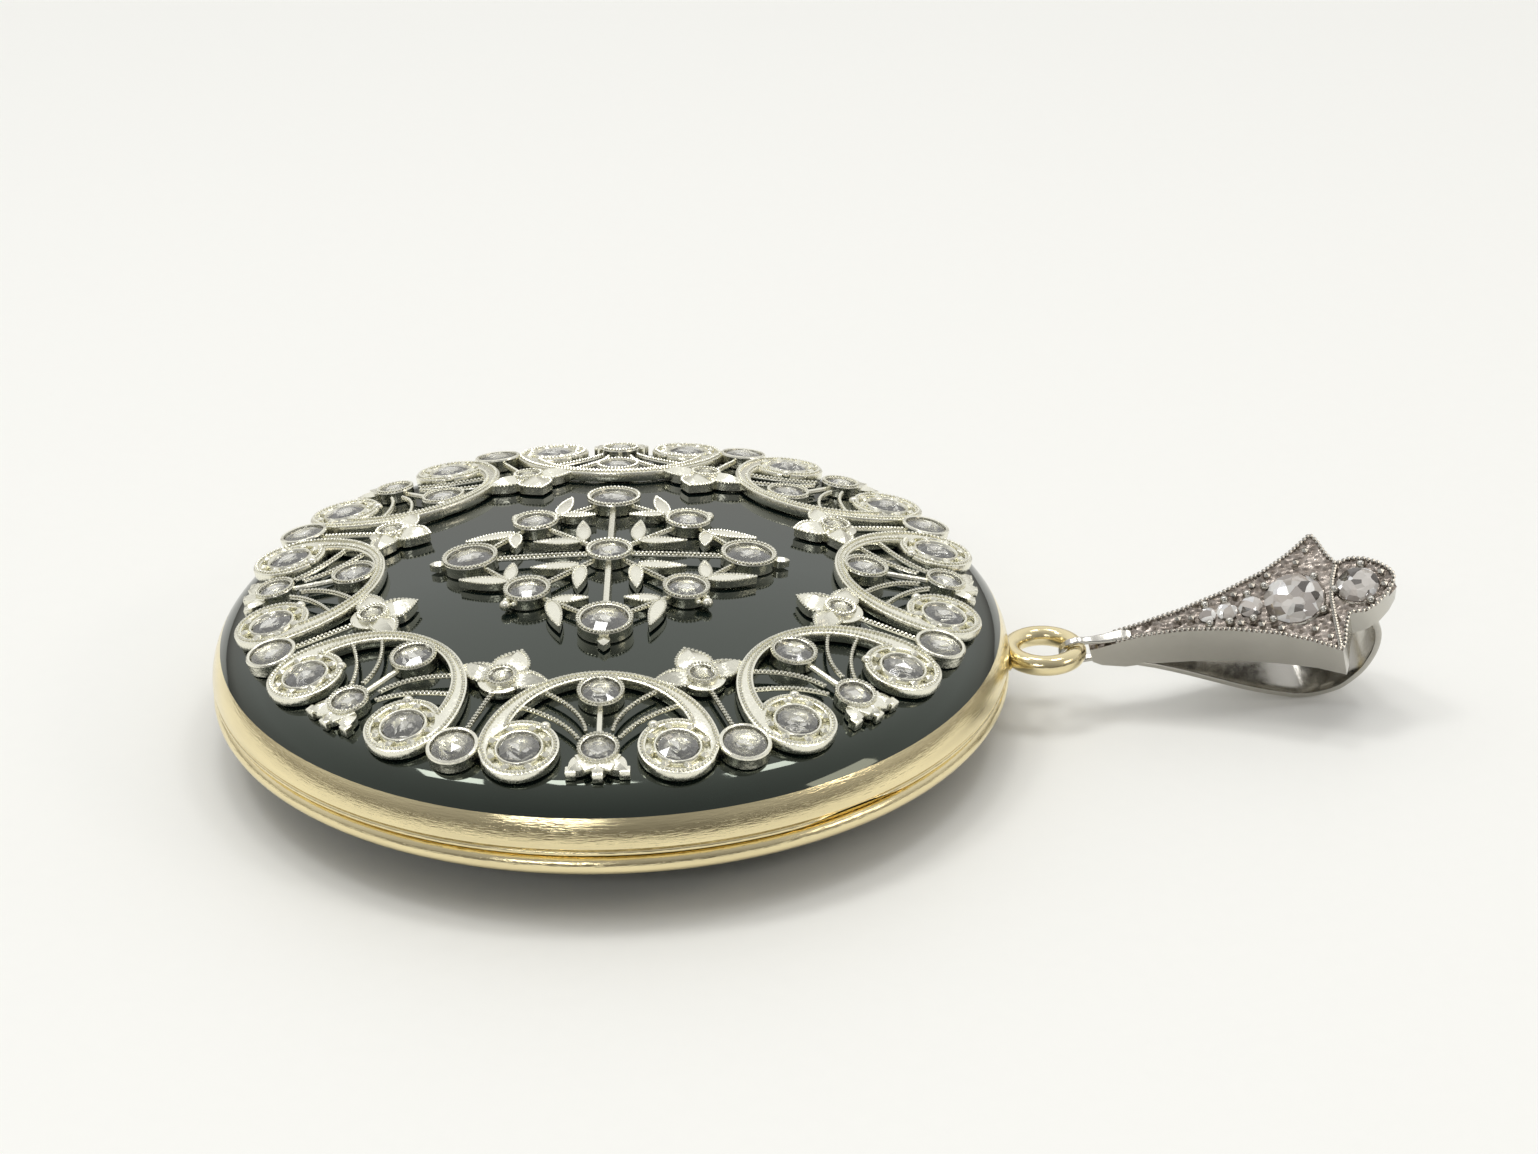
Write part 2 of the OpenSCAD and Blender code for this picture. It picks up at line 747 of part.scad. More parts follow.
module bail_strap() {
  plan = [
    [2.4, 0.35], [3, 0.4], [4.5, 0.75], [6, 1.2], [7.4, 1.6], [bail_l - 5.6, 1.87],
    [bail_l - 3.4, 1.87], [bail_l - 2.2, 1.65], [bail_l - 0.9, 1.25]
  ];
  back = [for (i = [len(plan) - 1 : -1 : 0]) [plan[i].x, -plan[i].y]];
  outer = strap_face(strap_t / 2);
  inner_face = strap_face(-strap_t / 2);
  inner = [for (i = [len(inner_face) - 1 : -1 : 0]) inner_face[i]];
  color(PLATINUM) in_bail() intersection() {
    translate([0, 5, 0]) rotate([90, 0, 0]) linear_extrude(10) polygon(concat(outer, inner));
    translate([0, 0, -8]) linear_extrude(8) polygon(concat(plan, back));
  }
}

module bail_eye() {
  color(PLATINUM) in_bail() rotate([90, 0, 0]) difference() {
    cylinder(r = eye_r + eye_t, h = eye_w, center = true, $fn = 48);
    cylinder(r = eye_r, h = 2, center = true, $fn = 48);
  }
}

module bail_main_stone() {
  color(STONE) in_bail() translate([main_x, 0, crest(main_x)]) domed(main_stone_r, -0.4, 0.7);
}

module bail_petal_stone() {
  color(STONE) in_bail() translate([petal_x, 0, crest(petal_x)]) domed(petal_stone_r, -0.35, 0.6);
}

module bail_taper_stones() {
  color(STONE) in_bail() for (t = taper_at)
    translate([t.x, 0, crest(t.x)]) domed(taper_stone_r * t.y, -0.24, 0.4);
}

// Grains that hold the stones.
module bail_prongs() {
  color(PLATINUM) in_bail() {
    translate([main_x, 0, crest(main_x)]) for (a = [45 : 90 : 315])
      rotate(a) translate([main_stone_r + 0.16, 0, 0]) sphere(0.2, $fn = 24);
    translate([petal_x, 0, crest(petal_x)]) for (a = [60, 180, 300])
      rotate(a) translate([petal_stone_r + 0.14, 0, 0]) sphere(0.17, $fn = 24);
  }
}

back_rim();
back_panel();
back_pan();
snap_bezel();
back_photo();
back_glass();
back_photo_frame();
back_knuckles();
hinge_pin();
pendant_loop();
front_rim();
front_panel();
front_pan();
front_photo();
front_glass();
front_photo_frame();
front_knuckle();
garland_arches();
garland_ribs();
garland_crowns();
garland_trefoils();
garland_collets();
apex_collets();
base_collets();
trefoil_collets();
scroll_stones();
garland_stones();
apex_stones();
base_stones();
trefoil_stones();
garland_rivets();
lozenge_frame();
lozenge_leaves();
lozenge_collets();
lozenge_stones();
lozenge_rivets();
bail_plate();
bail_strap();
bail_eye();
bail_main_stone();
bail_petal_stone();
bail_taper_stones();
bail_prongs();
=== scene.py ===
import json
import math

import bpy
import numpy as np
from mathutils import Matrix, Vector


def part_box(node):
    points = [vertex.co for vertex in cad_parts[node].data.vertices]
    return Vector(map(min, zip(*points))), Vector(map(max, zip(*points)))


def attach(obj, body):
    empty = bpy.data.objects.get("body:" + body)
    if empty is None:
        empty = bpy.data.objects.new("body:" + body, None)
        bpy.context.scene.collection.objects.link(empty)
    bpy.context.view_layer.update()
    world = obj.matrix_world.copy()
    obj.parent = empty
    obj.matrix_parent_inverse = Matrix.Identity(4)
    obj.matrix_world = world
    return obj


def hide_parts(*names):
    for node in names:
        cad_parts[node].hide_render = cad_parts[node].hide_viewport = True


bl_info = {
    "name": "Enamel Locket",
    "version": (1, 0, 0),
    "blender": (4, 5, 0),
    "location": "View3D > Sidebar > Locket",
    "description": "Builds an enamelled locket with a stone-set garland and bail",
    "category": "Add Mesh",
}

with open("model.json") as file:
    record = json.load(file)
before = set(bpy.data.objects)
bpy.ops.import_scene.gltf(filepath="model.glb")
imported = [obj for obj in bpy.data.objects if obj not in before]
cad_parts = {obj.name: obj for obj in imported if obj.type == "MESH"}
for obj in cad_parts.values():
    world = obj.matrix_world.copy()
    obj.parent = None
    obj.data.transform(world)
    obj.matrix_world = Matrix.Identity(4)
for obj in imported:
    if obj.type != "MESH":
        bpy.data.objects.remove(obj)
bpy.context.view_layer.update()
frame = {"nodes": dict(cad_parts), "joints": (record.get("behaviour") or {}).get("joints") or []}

MM = 0.001
ARCHES = 8
PITCH = 360 / ARCHES
CASE_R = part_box("back_rim")[1].x
CROWN_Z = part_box("front_panel")[1].z
ENAMEL_EDGE_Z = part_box("front_panel")[0].z
FRONT_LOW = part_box("front_rim")[0].z
BACK_LOW, BACK_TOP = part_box("back_rim")[0].z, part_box("back_rim")[1].z
EYE = Vector(next(joint["pos_m"] for joint in frame["joints"] if joint["name"] == "bail_swing"))

# Steps round a full turn of the case's large rings.
CASE_STEPS = 192
# Distance in millimetres of the loop's centre beyond the case's edge.
LOOP_OUT = 1.6
# Heights in millimetres over the enamel: leaves, bars with their grains, and stones' undersides.
LEAF_LOW, LEAF_TOP = 0.1, 0.46
BAR_Z, BAR_GRAIN_Z = 0.32, 0.42
STONE_LOW = 0.36
SEAT_Z = 0.345
# The camera: lens and place in millimetres; turn, rise and roll in degrees.
VIEW_LENS = 76.37
VIEW_PLACE = (6.372, -131.769, 71.703)
VIEW_TURNS = (-0.334, 26.155, -0.593)


# ---- sizes and finishes ----


def length(name, description, default):
    return bpy.props.FloatProperty(
        name=name, description=description, default=default, unit="LENGTH", min=0.0, precision=5
    )


def angle(name, description, degrees):
    return bpy.props.FloatProperty(
        name=name, description=description, default=math.radians(degrees), unit="ROTATION"
    )


def colour(name, description, code):
    return bpy.props.FloatVectorProperty(
        name=name, description=description, default=linear(code)[:3], size=3,
        subtype="COLOR", min=0.0, max=1.0,
    )


def linear(code):
    """A linear colour with alpha from an sRGB hex value such as #E3BE6A."""
    parts = [int(code[i:i + 2], 16) / 255 for i in (1, 3, 5)]
    return tuple(c / 12.92 if c < 0.04045 else ((c + 0.055) / 1.055) ** 2.4 for c in parts) + (1.0,)


class LocketCaseSizes(bpy.types.PropertyGroup):
    dome_r: length("Dome radius", "Radius of curvature of both covers", 0.066)
    shoulder_r: length("Shoulder radius", "Radius between the cover's dome and its side", 0.00264)
    enamel_t: length("Enamel", "Thickness of the enamel", 0.00035)
    rim_bead_r: length("Rim bead", "Radius of the bead on the front rim's lower edge", 0.00011)
    nick_w: length("Nick width", "Width of the thumbnail nick", 0.0065)
    nick_h: length("Nick height", "Height of the thumbnail nick", 0.00026)
    nick_angle: angle("Nick direction", "Direction of the nick from the bail", -54)
    loop_r: length("Loop radius", "Radius of the loop's centre line", 0.0015)
    loop_wire_r: length("Loop wire", "Radius of the loop's wire", 0.00046)


class LocketOpenworkSizes(bpy.types.PropertyGroup):
    plate_low: length("Plate underside", "Height of the arches' underside over the enamel", 0.00008)
    plate_high: length("Plate top", "Height of the arches' top over the enamel", 0.00056)
    wire_r: length("Wire", "Radius of the wires inside the arches", 0.00009)
    grain_r: length("Milgrain", "Radius of one grain of the milgrained edges", 0.000092)
    collet_h: length("Collet height", "Height of the stone collets over the enamel", 0.00066)
    arch_at: length("Arch distance", "Distance of the arches' centres from the middle", 0.01506)
    arch_r: length("Arch radius", "Outer radius of an arch", 0.00497)
    arch_in_at: length("Arch opening distance", "Distance of the openings' centres", 0.01437)
    arch_in_r: length("Arch opening radius", "Inner radius of an arch", 0.00392)
    scroll_out: length("Scroll distance", "Distance of the scrolls from the middle", 0.01473)
    scroll_side: length("Scroll offset", "Distance of a scroll from its arch's centre line", 0.00323)
    scroll_r: length("Scroll radius", "Radius of a scroll's head", 0.00158)
    ring_at: length("Ring distance", "Distance of the round collets from the middle", 0.01558)
    base_at: length("Crown distance", "Distance of the arches' feet from the middle", 0.01497)
    apex_at: length("Apex distance", "Distance of the stones under the arches", 0.0114)
    trefoil_at: length("Trefoil distance", "Distance of the trefoils from the middle", 0.01098)
    corner_at: length("Corner distance", "Distance of the lozenge's corner stones", 0.00619)
    side_at: length("Side distance", "Distance of the lozenge's side stones", 0.0049)


class LocketBailSizes(bpy.types.PropertyGroup):
    length: length("Length", "Length of the bail from its eye to its tip", 0.0147)
    pitch: angle("Pitch", "Upward pitch of the bail at rest", 14.3)
    roll: angle("Roll", "Roll of the bail at rest", 27)
    wall_t: length("Wall", "Thickness of the bail's walls", 0.00028)
    strap_t: length("Strap", "Thickness of the bail's strap", 0.00032)
    strap_r: length("Curl", "Radius of the strap's curl", 0.003)
    main_stone_r: length("Main stone", "Radius of the main stone", 0.00135)
    petal_stone_r: length("Petal stone", "Radius of the petal's stone", 0.00095)


class LocketFinishes(bpy.types.PropertyGroup):
    gold: colour("Yellow gold", "Pale polished 18 carat gold", "#F6E6B8")
    # The openwork's platinum is painted brighter than the bail's: lit and shaded copies of one metal,
    # painted light.
    platinum: colour("Openwork platinum", "Bright platinum of the openwork", "#F6F4E4")
    bail_platinum: colour("Bail platinum", "Greyer polished platinum of the bail", "#C7C4BC")
    enamel: colour("Enamel", "Glossy black enamel", "#0C1412")
    paper: colour("Photograph paper", "Faded photograph paper", "#CDBB98")
    floor: colour("Floor", "Pale matt floor", "#F4F4F0")


def sizes(group):
    """A group's lengths in millimetres and its angles in degrees."""
    out = {}
    for key, prop in group.bl_rna.properties.items():
        if prop.type == "FLOAT" and not prop.is_array:
            turn = prop.unit == "ROTATION"
            out[key] = math.degrees(getattr(group, key)) if turn else getattr(group, key) / MM
    return type("Sizes", (), out)


# ---- modelling, in millimetres until a piece is finished ----


def pick(*objs):
    if bpy.context.mode != "OBJECT":
        bpy.ops.object.mode_set(mode="OBJECT")
    bpy.ops.object.select_all(action="DESELECT")
    for obj in objs:
        obj.select_set(True)
    bpy.context.view_layer.objects.active = objs[0]
    return objs[0]


def edited(obj, *steps):
    """Runs edit-mode steps on the whole mesh of obj."""
    pick(obj)
    bpy.ops.object.mode_set(mode="EDIT")
    bpy.ops.mesh.select_all(action="SELECT")
    for step, settings in steps:
        step(**settings)
    bpy.ops.object.mode_set(mode="OBJECT")
    return obj


def healed(obj, gap=0.0008):
    return edited(
        obj,
        (bpy.ops.mesh.remove_doubles, {"threshold": gap}),
        (bpy.ops.mesh.normals_make_consistent, {"inside": False}),
    )


def added(add_mesh, **settings):
    """Adds one mesh primitive and returns its object."""
    bpy.ops.object.select_all(action="DESELECT")
    add_mesh(**settings)
    return bpy.context.object


def modified(obj, kind, **settings):
    modifier = obj.modifiers.new(kind.title(), kind)
    for key, value in settings.items():
        setattr(modifier, key, value)
    pick(obj)
    bpy.ops.object.modifier_apply(modifier=modifier.name)
    return obj


def cut(obj, cutter, **settings):
    """Takes the cutter's shape out of obj and removes the cutter."""
    modified(obj, "BOOLEAN", object=cutter, operation="DIFFERENCE", solver="EXACT", **settings)
    bpy.data.objects.remove(cutter)


def joined(*objs):
    obj = pick(*objs)
    if len(objs) > 1:
        bpy.ops.object.join()
    return obj


def moved(obj, x=0.0, y=0.0, z=0.0, turn=0.0):
    obj.data.transform(Matrix.Translation((x, y, z)) @ Matrix.Rotation(math.radians(turn), 4, "Z"))
    return obj


def copied(obj, *places):
    """Joins copies of obj, one at each (x, y, turn)."""
    made = []
    for x, y, turn in places:
        new = obj.copy()
        new.data = obj.data.copy()
        bpy.context.collection.objects.link(new)
        made.append(moved(new, x, y, 0, turn))
    bpy.data.objects.remove(obj)
    return joined(*made)


def round_the_cover(obj, first=0.0):
    return copied(obj, *[(0, 0, first + i * PITCH) for i in range(ARCHES)])


def shaped(obj, points):
    for vertex, point in zip(obj.data.vertices, points):
        vertex.co = point
    return obj


def turned(section, steps=40):
    """Spins a closed section of (radius, height) points about Z."""
    obj = added(bpy.ops.mesh.primitive_circle_add, vertices=len(section), radius=1)
    shaped(obj, [(r, 0, z) for r, z in section])
    edited(obj, (bpy.ops.mesh.spin, {
        "steps": steps, "angle": 2 * math.pi, "center": (0, 0, 0), "axis": (0, 0, 1)
    }))
    return healed(obj)


def polar(r, degrees, x=0.0, y=0.0):
    """The point at distance r from (x, y) in this direction."""
    return x + r * math.cos(math.radians(degrees)), y + r * math.sin(math.radians(degrees))


def arc(x, y, r, start, end, steps):
    return [polar(r, a, x, y) for a in np.linspace(start, end, steps)]


def sheet(count, rows, place):
    """A grid of count columns: place(column, t) is a point, with t from -1 to 1 across it."""
    obj = added(bpy.ops.mesh.primitive_grid_add, x_subdivisions=count - 1, y_subdivisions=rows, size=1)
    return shaped(obj, [
        place(i % count, i // count / rows * 2 - 1) for i in range(len(obj.data.vertices))
    ])


def curve_of(paths, closed, **settings):
    curve = bpy.data.curves.new("path", "CURVE")
    curve.resolution_u = 1
    for key, value in settings.items():
        setattr(curve, key, value)
    for path in paths:
        spline = curve.splines.new("POLY")
        spline.points.add(len(path) - 1)
        for point, place in zip(spline.points, path):
            point.co = (*place, 1) if len(place) == 3 else (*place, 0, 1)
        spline.use_cyclic_u = closed
    obj = bpy.data.objects.new("path", curve)
    bpy.context.collection.objects.link(obj)
    pick(obj)
    bpy.ops.object.convert(target="MESH")
    return healed(bpy.context.object)


def plate(loops, low, high, edge=0.035):
    """A flat plate with rounded edges between closed outlines; inner ones are holes."""
    obj = curve_of(
        loops, True, dimensions="2D", fill_mode="BOTH",
        extrude=(high - low) / 2 - edge, bevel_depth=edge, bevel_resolution=1,
    )
    return moved(obj, z=(low + high) / 2)


def wire(path, r, closed=False):
    return curve_of([path], closed, dimensions="3D", bevel_depth=r, bevel_resolution=2,
                    use_fill_caps=not closed)


def evenly(path, gap, closed):
    """Points along a path about gap apart."""
    points = np.array([(*p, 0)[:3] for p in path], float)
    if closed:
        points = np.vstack([points, points[:1]])
    run = np.concatenate([[0], np.cumsum(np.linalg.norm(np.diff(points, axis=0), axis=1))])
    count = max(2, round(run[-1] / gap) + (0 if closed else 1))
    at = np.linspace(0, run[-1], count, endpoint=not closed)
    return np.stack([np.interp(at, run, points[:, i]) for i in range(3)], axis=1)


def grains(spots, r):
    """One small ball, copied to each spot."""
    obj = added(bpy.ops.mesh.primitive_ico_sphere_add, subdivisions=1, radius=r)
    ball = np.array([v.co for v in obj.data.vertices])
    faces = np.array([list(f.vertices) for f in obj.data.polygons])
    spots = np.array(spots, float)
    count = len(ball)
    places = (spots[:, None, :] + ball[None]).reshape(-1, 3)
    faces = np.concatenate([faces + i * count for i in range(len(spots))])
    mesh = bpy.data.meshes.new("grains")
    mesh.from_pydata(places, [], faces.tolist())
    obj.data = mesh
    return obj


def milgrain(path, r, z, closed=False):
    """A row of touching grains along a flat path at height z."""
    spots = evenly(path, 1.9 * r, closed)
    spots[:, 2] = z
    return grains(spots, r)


def beaded(path, r, grain_r, z):
    """A wire of radius r, and a row of grains along it at height z."""
    return [wire(path, r), milgrain(path, grain_r, z)]


def circle(r, x=0.0, y=0.0, steps=40):
    return arc(x, y, r, 0, 360 - 360 / steps, steps)


def ball(r, x, y, z, flat=1.0):
    obj = added(bpy.ops.mesh.primitive_uv_sphere_add, segments=16, ring_count=8, radius=r)
    obj.data.transform(Matrix.Translation((x, y, z)) @ Matrix.Diagonal((1, 1, flat, 1)))
    return obj


def hull(points):
    """The faceted solid with these corners."""
    obj = shaped(added(bpy.ops.mesh.primitive_circle_add, vertices=len(points), radius=1), points)
    return healed(edited(obj, (bpy.ops.mesh.convex_hull, {})), 0.0002)


def ring_points(count, r, z, turn=0.0):
    return [
        (r * math.cos(a), r * math.sin(a), z)
        for a in (2 * math.pi * (i + turn) / count for i in range(count))
    ]


def rose_cut(r, low, girdle, top):
    """A flat-bottomed stone with six facets round its point and eighteen below."""
    rise = top - girdle
    return hull(
        [(0, 0, top)]
        + ring_points(6, r * 0.52, girdle + rise * 0.72)
        + ring_points(12, r * 0.99, girdle + rise * 0.08, 0.5)
        + ring_points(12, r, girdle - 0.02, 0.5)
        + ring_points(12, r * 0.9, low, 0.5)
    )


def brilliant(r, girdle, crown, pavilion):
    """A round stone with a flat table, two rings of crown facets and a pointed base."""
    return hull(
        ring_points(8, r * 0.56, girdle + crown)
        + ring_points(8, r * 0.80, girdle + crown * 0.62, 0.5)
        + ring_points(16, r, girdle)
        + ring_points(16, r * 0.995, girdle - 0.05)
        + ring_points(8, r * 0.5, girdle - pavilion * 0.56, 0.5)
        + [(0, 0, girdle - pavilion)]
    )


def collet(r, high, wall=0.16):
    """A turned cup for a stone of radius r - wall, with its lip pushed over."""
    return turned([
        (0, 0.02), (r - 0.05, 0.02), (r, 0.07), (r, high - 0.16), (r + 0.02, high - 0.1),
        (r - 0.01, high - 0.03), (r - 0.07, high), (r - wall + 0.01, high - 0.03),
        (r - wall, high - 0.12), (r - wall - 0.03, high - 0.3), (0, high - 0.34),
    ], 32)


def leaf_shape(u):
    """Half width of a leaf along its length: round at the foot and pointed at the tip."""
    return 2.88 * u ** 0.6 * (1 - u)


def leaf(l, w, low, high, ridge):
    """A pointed leaf from the origin along +X, with a ridge down its middle."""
    obj = added(bpy.ops.mesh.primitive_grid_add, x_subdivisions=10, y_subdivisions=2, size=1)
    for vertex in obj.data.vertices:
        u, side = vertex.co.x + 0.5, vertex.co.y * 2
        half = w / 2 * leaf_shape(u)
        crest = ridge * math.sin(math.pi * u) ** 0.6
        raised = crest if abs(side) < 0.5 else 0.0
        vertex.co = (u * l, side * max(half, 0.015), high + raised)
    edited(obj, (bpy.ops.mesh.extrude_region_move, {
        "TRANSFORM_OT_translate": {"value": (0, 0, low - high - 0.02)}
    }))
    for vertex in obj.data.vertices:
        if vertex.co.z < high - 0.01:
            vertex.co.z = low
    return healed(obj, 0.0002)


def leaf_edge(l, w, r, z):
    """Milgrain round the edge of such a leaf."""
    side = [(u * l, (w / 2 - r * 0.6) * leaf_shape(u)) for u in np.linspace(0.03, 1, 14)]
    return milgrain(side + [(x, -y) for x, y in side[::-1]], r, z)


def smooth(obj, degrees=38.0):
    pick(obj)
    bpy.ops.object.shade_smooth_by_angle(angle=math.radians(degrees))
    return obj


def settled(obj):
    """Bends a flat piece, drawn at its height over the enamel, onto the front dome."""
    dome_r = sizes(bpy.context.scene.locket_case).dome_r
    points = np.empty(len(obj.data.vertices) * 3)
    obj.data.vertices.foreach_get("co", points)
    points = points.reshape(-1, 3)
    up = np.sqrt(dome_r ** 2 - points[:, 0] ** 2 - points[:, 1] ** 2)
    reach = (dome_r + points[:, 2]) / dome_r
    points[:, 2] = up * reach + CROWN_Z / MM - dome_r
    points[:, :2] *= reach[:, None]
    obj.data.vertices.foreach_set("co", points.reshape(-1))
    obj.data.update()
    return obj


def finished(obj, name, material, slot, body, *nodes):
    """Names a piece, scales its mesh to metres and sets it in the frame."""
    obj.name = obj.data.name = name
    obj.data.transform(Matrix.Scale(MM, 4))
    obj.data.materials.clear()
    obj.data.materials.append(material)
    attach(obj, body)
    if nodes:
        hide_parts(*nodes)
    return obj


# ---- finishes ----


def add(tree, kind, links=None, **settings):
    """Adds a node: settings name its attributes or sockets, and links its inputs' sources."""
    node = tree.nodes.new(kind)
    for key, value in settings.items():
        if hasattr(node, key):
            setattr(node, key, value)
        else:
            node.inputs[key.replace("_", " ")].default_value = value
    for key, source in (links or {}).items():
        tree.links.new(source, node.inputs[key])
    return node


def material_of(name, build):
    found = bpy.data.materials.get(name)
    if found:
        return found
    material = bpy.data.materials.new(name)
    material.use_nodes = True
    tree = material.node_tree
    tree.nodes.clear()
    where = add(tree, "ShaderNodeTexCoord").outputs["Object"]
    shader = build(tree, where)
    add(tree, "ShaderNodeOutputMaterial", {"Surface": shader.outputs[0]})
    return material


def per_mm(size):
    """A texture scale whose cells are size millimetres across."""
    return 1 / (size * MM)


def ramp(tree, source, to_low, to_high, low=0.3, high=0.7):
    """Spreads the range low to high of a value over to_low to to_high."""
    return add(
        tree, "ShaderNodeMapRange", {"Value": source},
        From_Min=low, From_Max=high, To_Min=to_low, To_Max=to_high,
    ).outputs["Result"]


def tinted(tree, source, dark, light):
    mix = add(tree, "ShaderNodeMix", data_type="RGBA")
    tree.links.new(source, mix.inputs[0])
    mix.inputs[6].default_value = dark
    mix.inputs[7].default_value = light
    return mix.outputs[2]


def noise(tree, where, size, detail):
    """A cloudy pattern whose features are about size millimetres across."""
    node = add(tree, "ShaderNodeTexNoise", {"Vector": where}, Scale=per_mm(size), Detail=detail)
    return node.outputs["Fac"]


def cells(tree, where, size):
    return add(tree, "ShaderNodeTexVoronoi", {"Vector": where}, Scale=per_mm(size)).outputs


def stretched(tree, where, scale):
    return add(tree, "ShaderNodeMapping", {"Vector": where}, Scale=scale).outputs[0]


def bumped(tree, height, strength, distance):
    return add(tree, "ShaderNodeBump", {"Height": height}, Strength=strength, Distance=distance).outputs[0]


def calculated(tree, kind, operation, *sources):
    return add(tree, kind, dict(enumerate(sources)), operation=operation).outputs[0]


def split_colour(tree, source):
    return add(tree, "ShaderNodeSeparateColor", {"Color": source}).outputs


def surface(tree, base, roughness, normal=None, **settings):
    links = {"Base Color": base, "Roughness": roughness, "Normal": normal}
    links = {key: source for key, source in links.items() if source is not None}
    return add(tree, "ShaderNodeBsdfPrincipled", links, **settings)


def shade(c, k):
    return tuple(min(1.0, v * k) for v in c[:3]) + (1.0,)


def shades(key, dark, light):
    """A darker and a lighter shade of one of the finishes' colours."""
    c = tuple(getattr(bpy.context.scene.locket_finishes, key))
    return shade(c, dark), shade(c, light)


def gold(tree, where):
    # Polished 18 carat gold: mirror-like, with a hand-finished waviness and fine wear scratches. The waves
    # also tint the colour darker and lighter in long streaks round the rims: painted reflections.
    where = stretched(tree, where, (1.0, 1.0, 9.0))
    waves, scratches = noise(tree, where, 4.5, 2.0), noise(tree, where, 0.5, 4.0)
    both = calculated(tree, "ShaderNodeMath", "MULTIPLY", waves, scratches)
    return surface(
        tree, tinted(tree, waves, *shades("gold", 0.78, 1.1)), ramp(tree, scratches, 0.08, 0.22, 0.35),
        bumped(tree, both, 0.35, 0.00006), Metallic=1.0,
    )


def openwork_platinum(tree, where):
    # Saw-pierced and engraved platinum: bright fine cuts that scatter the light, and dull grain. Its colour
    # is painted paler than the bail's platinum, a painted lit copy of the same metal, for the light the
    # openwork catches on top of the cover.
    cuts, grain = cells(tree, where, 0.16)["Distance"], noise(tree, where, 0.12, 3.0)
    relief = calculated(tree, "ShaderNodeMath", "ADD", cuts, grain)
    return surface(
        tree, tinted(tree, grain, *shades("platinum", 0.9, 1.06)), ramp(tree, grain, 0.17, 0.34, 0.3, 0.75),
        bumped(tree, relief, 0.32, 0.00002), Metallic=1.0,
    )


def bail_platinum(tree, where):
    # Polished platinum, greyer than the openwork's painted-bright platinum: fine scratches and a slightly
    # uneven hand polish.
    waves, fine = noise(tree, where, 1.6, 2.0), noise(tree, where, 0.3, 3.0)
    return surface(
        tree, tinted(tree, fine, *shades("bail_platinum", 0.92, 1.03)), ramp(tree, fine, 0.16, 0.26),
        bumped(tree, waves, 0.3, 0.00006), Metallic=1.0,
    )


def pitted_platinum(tree, where):
    # The bail's ground, cut down between its grains: pitted, duller, darker and browner than its walls,
    # with painted shade darkest at the bottom of each pit.
    pits, fine = cells(tree, where, 0.34)["Distance"], noise(tree, where, 0.2, 3.0)
    return surface(
        tree, tinted(tree, pits, linear("#857A70"), linear("#BDB4AB")), ramp(tree, fine, 0.2, 0.42),
        bumped(tree, pits, 0.9, 0.00016), Metallic=1.0,
    )


def enamel(tree, where):
    # Fired vitreous enamel over a polished ground: black glass with a faint orange-peel surface.
    peel, haze = noise(tree, where, 3.5, 1.0), noise(tree, where, 0.6, 3.0)
    return surface(
        tree, tinted(tree, haze, *shades("enamel", 0.8, 1.3)), ramp(tree, haze, 0.025, 0.07),
        bumped(tree, peel, 0.12, 0.00003), IOR=1.82, Specular_Tint=linear("#EAF4E2"),
    )


def rose_cut_stone(tree, where):
    # Old rose-cut diamond over a closed back: clear but greyish, with soft worn facets.
    cloud = noise(tree, where, 0.9, 2.0)
    return surface(
        tree, tinted(tree, cloud, linear("#E6E4D6"), linear("#FFFFFA")), ramp(tree, cloud, 0.02, 0.08),
        IOR=2.2, Transmission_Weight=0.95,
    )


def brilliant_stone(tree, where):
    # Old European-cut diamond: hard bright facets. The light and dark of its back facets are painted into
    # the colour cell by cell: painted reflections and glints.
    fire = cells(tree, where, 0.46)["Color"]
    split = split_colour(tree, fire)
    painted_facet_light = add(tree, "ShaderNodeValToRGB", {"Fac": split["Red"]})
    stops = painted_facet_light.color_ramp.elements
    painted_facet_light.color_ramp.interpolation = "CONSTANT"
    stops[0].position, stops[0].color = 0.0, linear("#6B645C")
    stops[1].position, stops[1].color = 0.72, linear("#FFFFFF")
    for position, code in ((0.16, "#E2DCD4"), (0.34, "#9E948A"), (0.46, "#FFFDF8"), (0.6, "#CFC6BC")):
        stops.new(position).color = linear(code)
    lean = add(tree, "ShaderNodeVectorMath", {0: fire}, operation="MULTIPLY_ADD")
    lean.inputs[1].default_value, lean.inputs[2].default_value = (0.9,) * 3, (-0.45,) * 3
    flat = add(tree, "ShaderNodeNewGeometry").outputs["Normal"]
    tilted = calculated(tree, "ShaderNodeVectorMath", "ADD", flat, lean.outputs[0])
    facet = calculated(tree, "ShaderNodeVectorMath", "NORMALIZE", tilted)
    return surface(
        tree, painted_facet_light.outputs["Color"], ramp(tree, split["Green"], 0.0, 0.05, 0.0, 1.0), facet,
        IOR=2.42, Transmission_Weight=0.25,
    )


def stone_seat(tree, where):
    # Floor of a closed setting, seen through the stone: grey, with cells painted lighter and darker as the
    # stone's glints and dark reflections, painted light.
    cell = cells(tree, where, 0.5)
    split = split_colour(tree, cell["Color"])
    return surface(
        tree, tinted(tree, split["Red"], linear("#6E6B60"), linear("#E9E7D8")),
        ramp(tree, split["Green"], 0.2, 0.5, 0.0, 1.0), bumped(tree, cell["Distance"], 0.8, 0.0001),
        Metallic=0.9,
    )


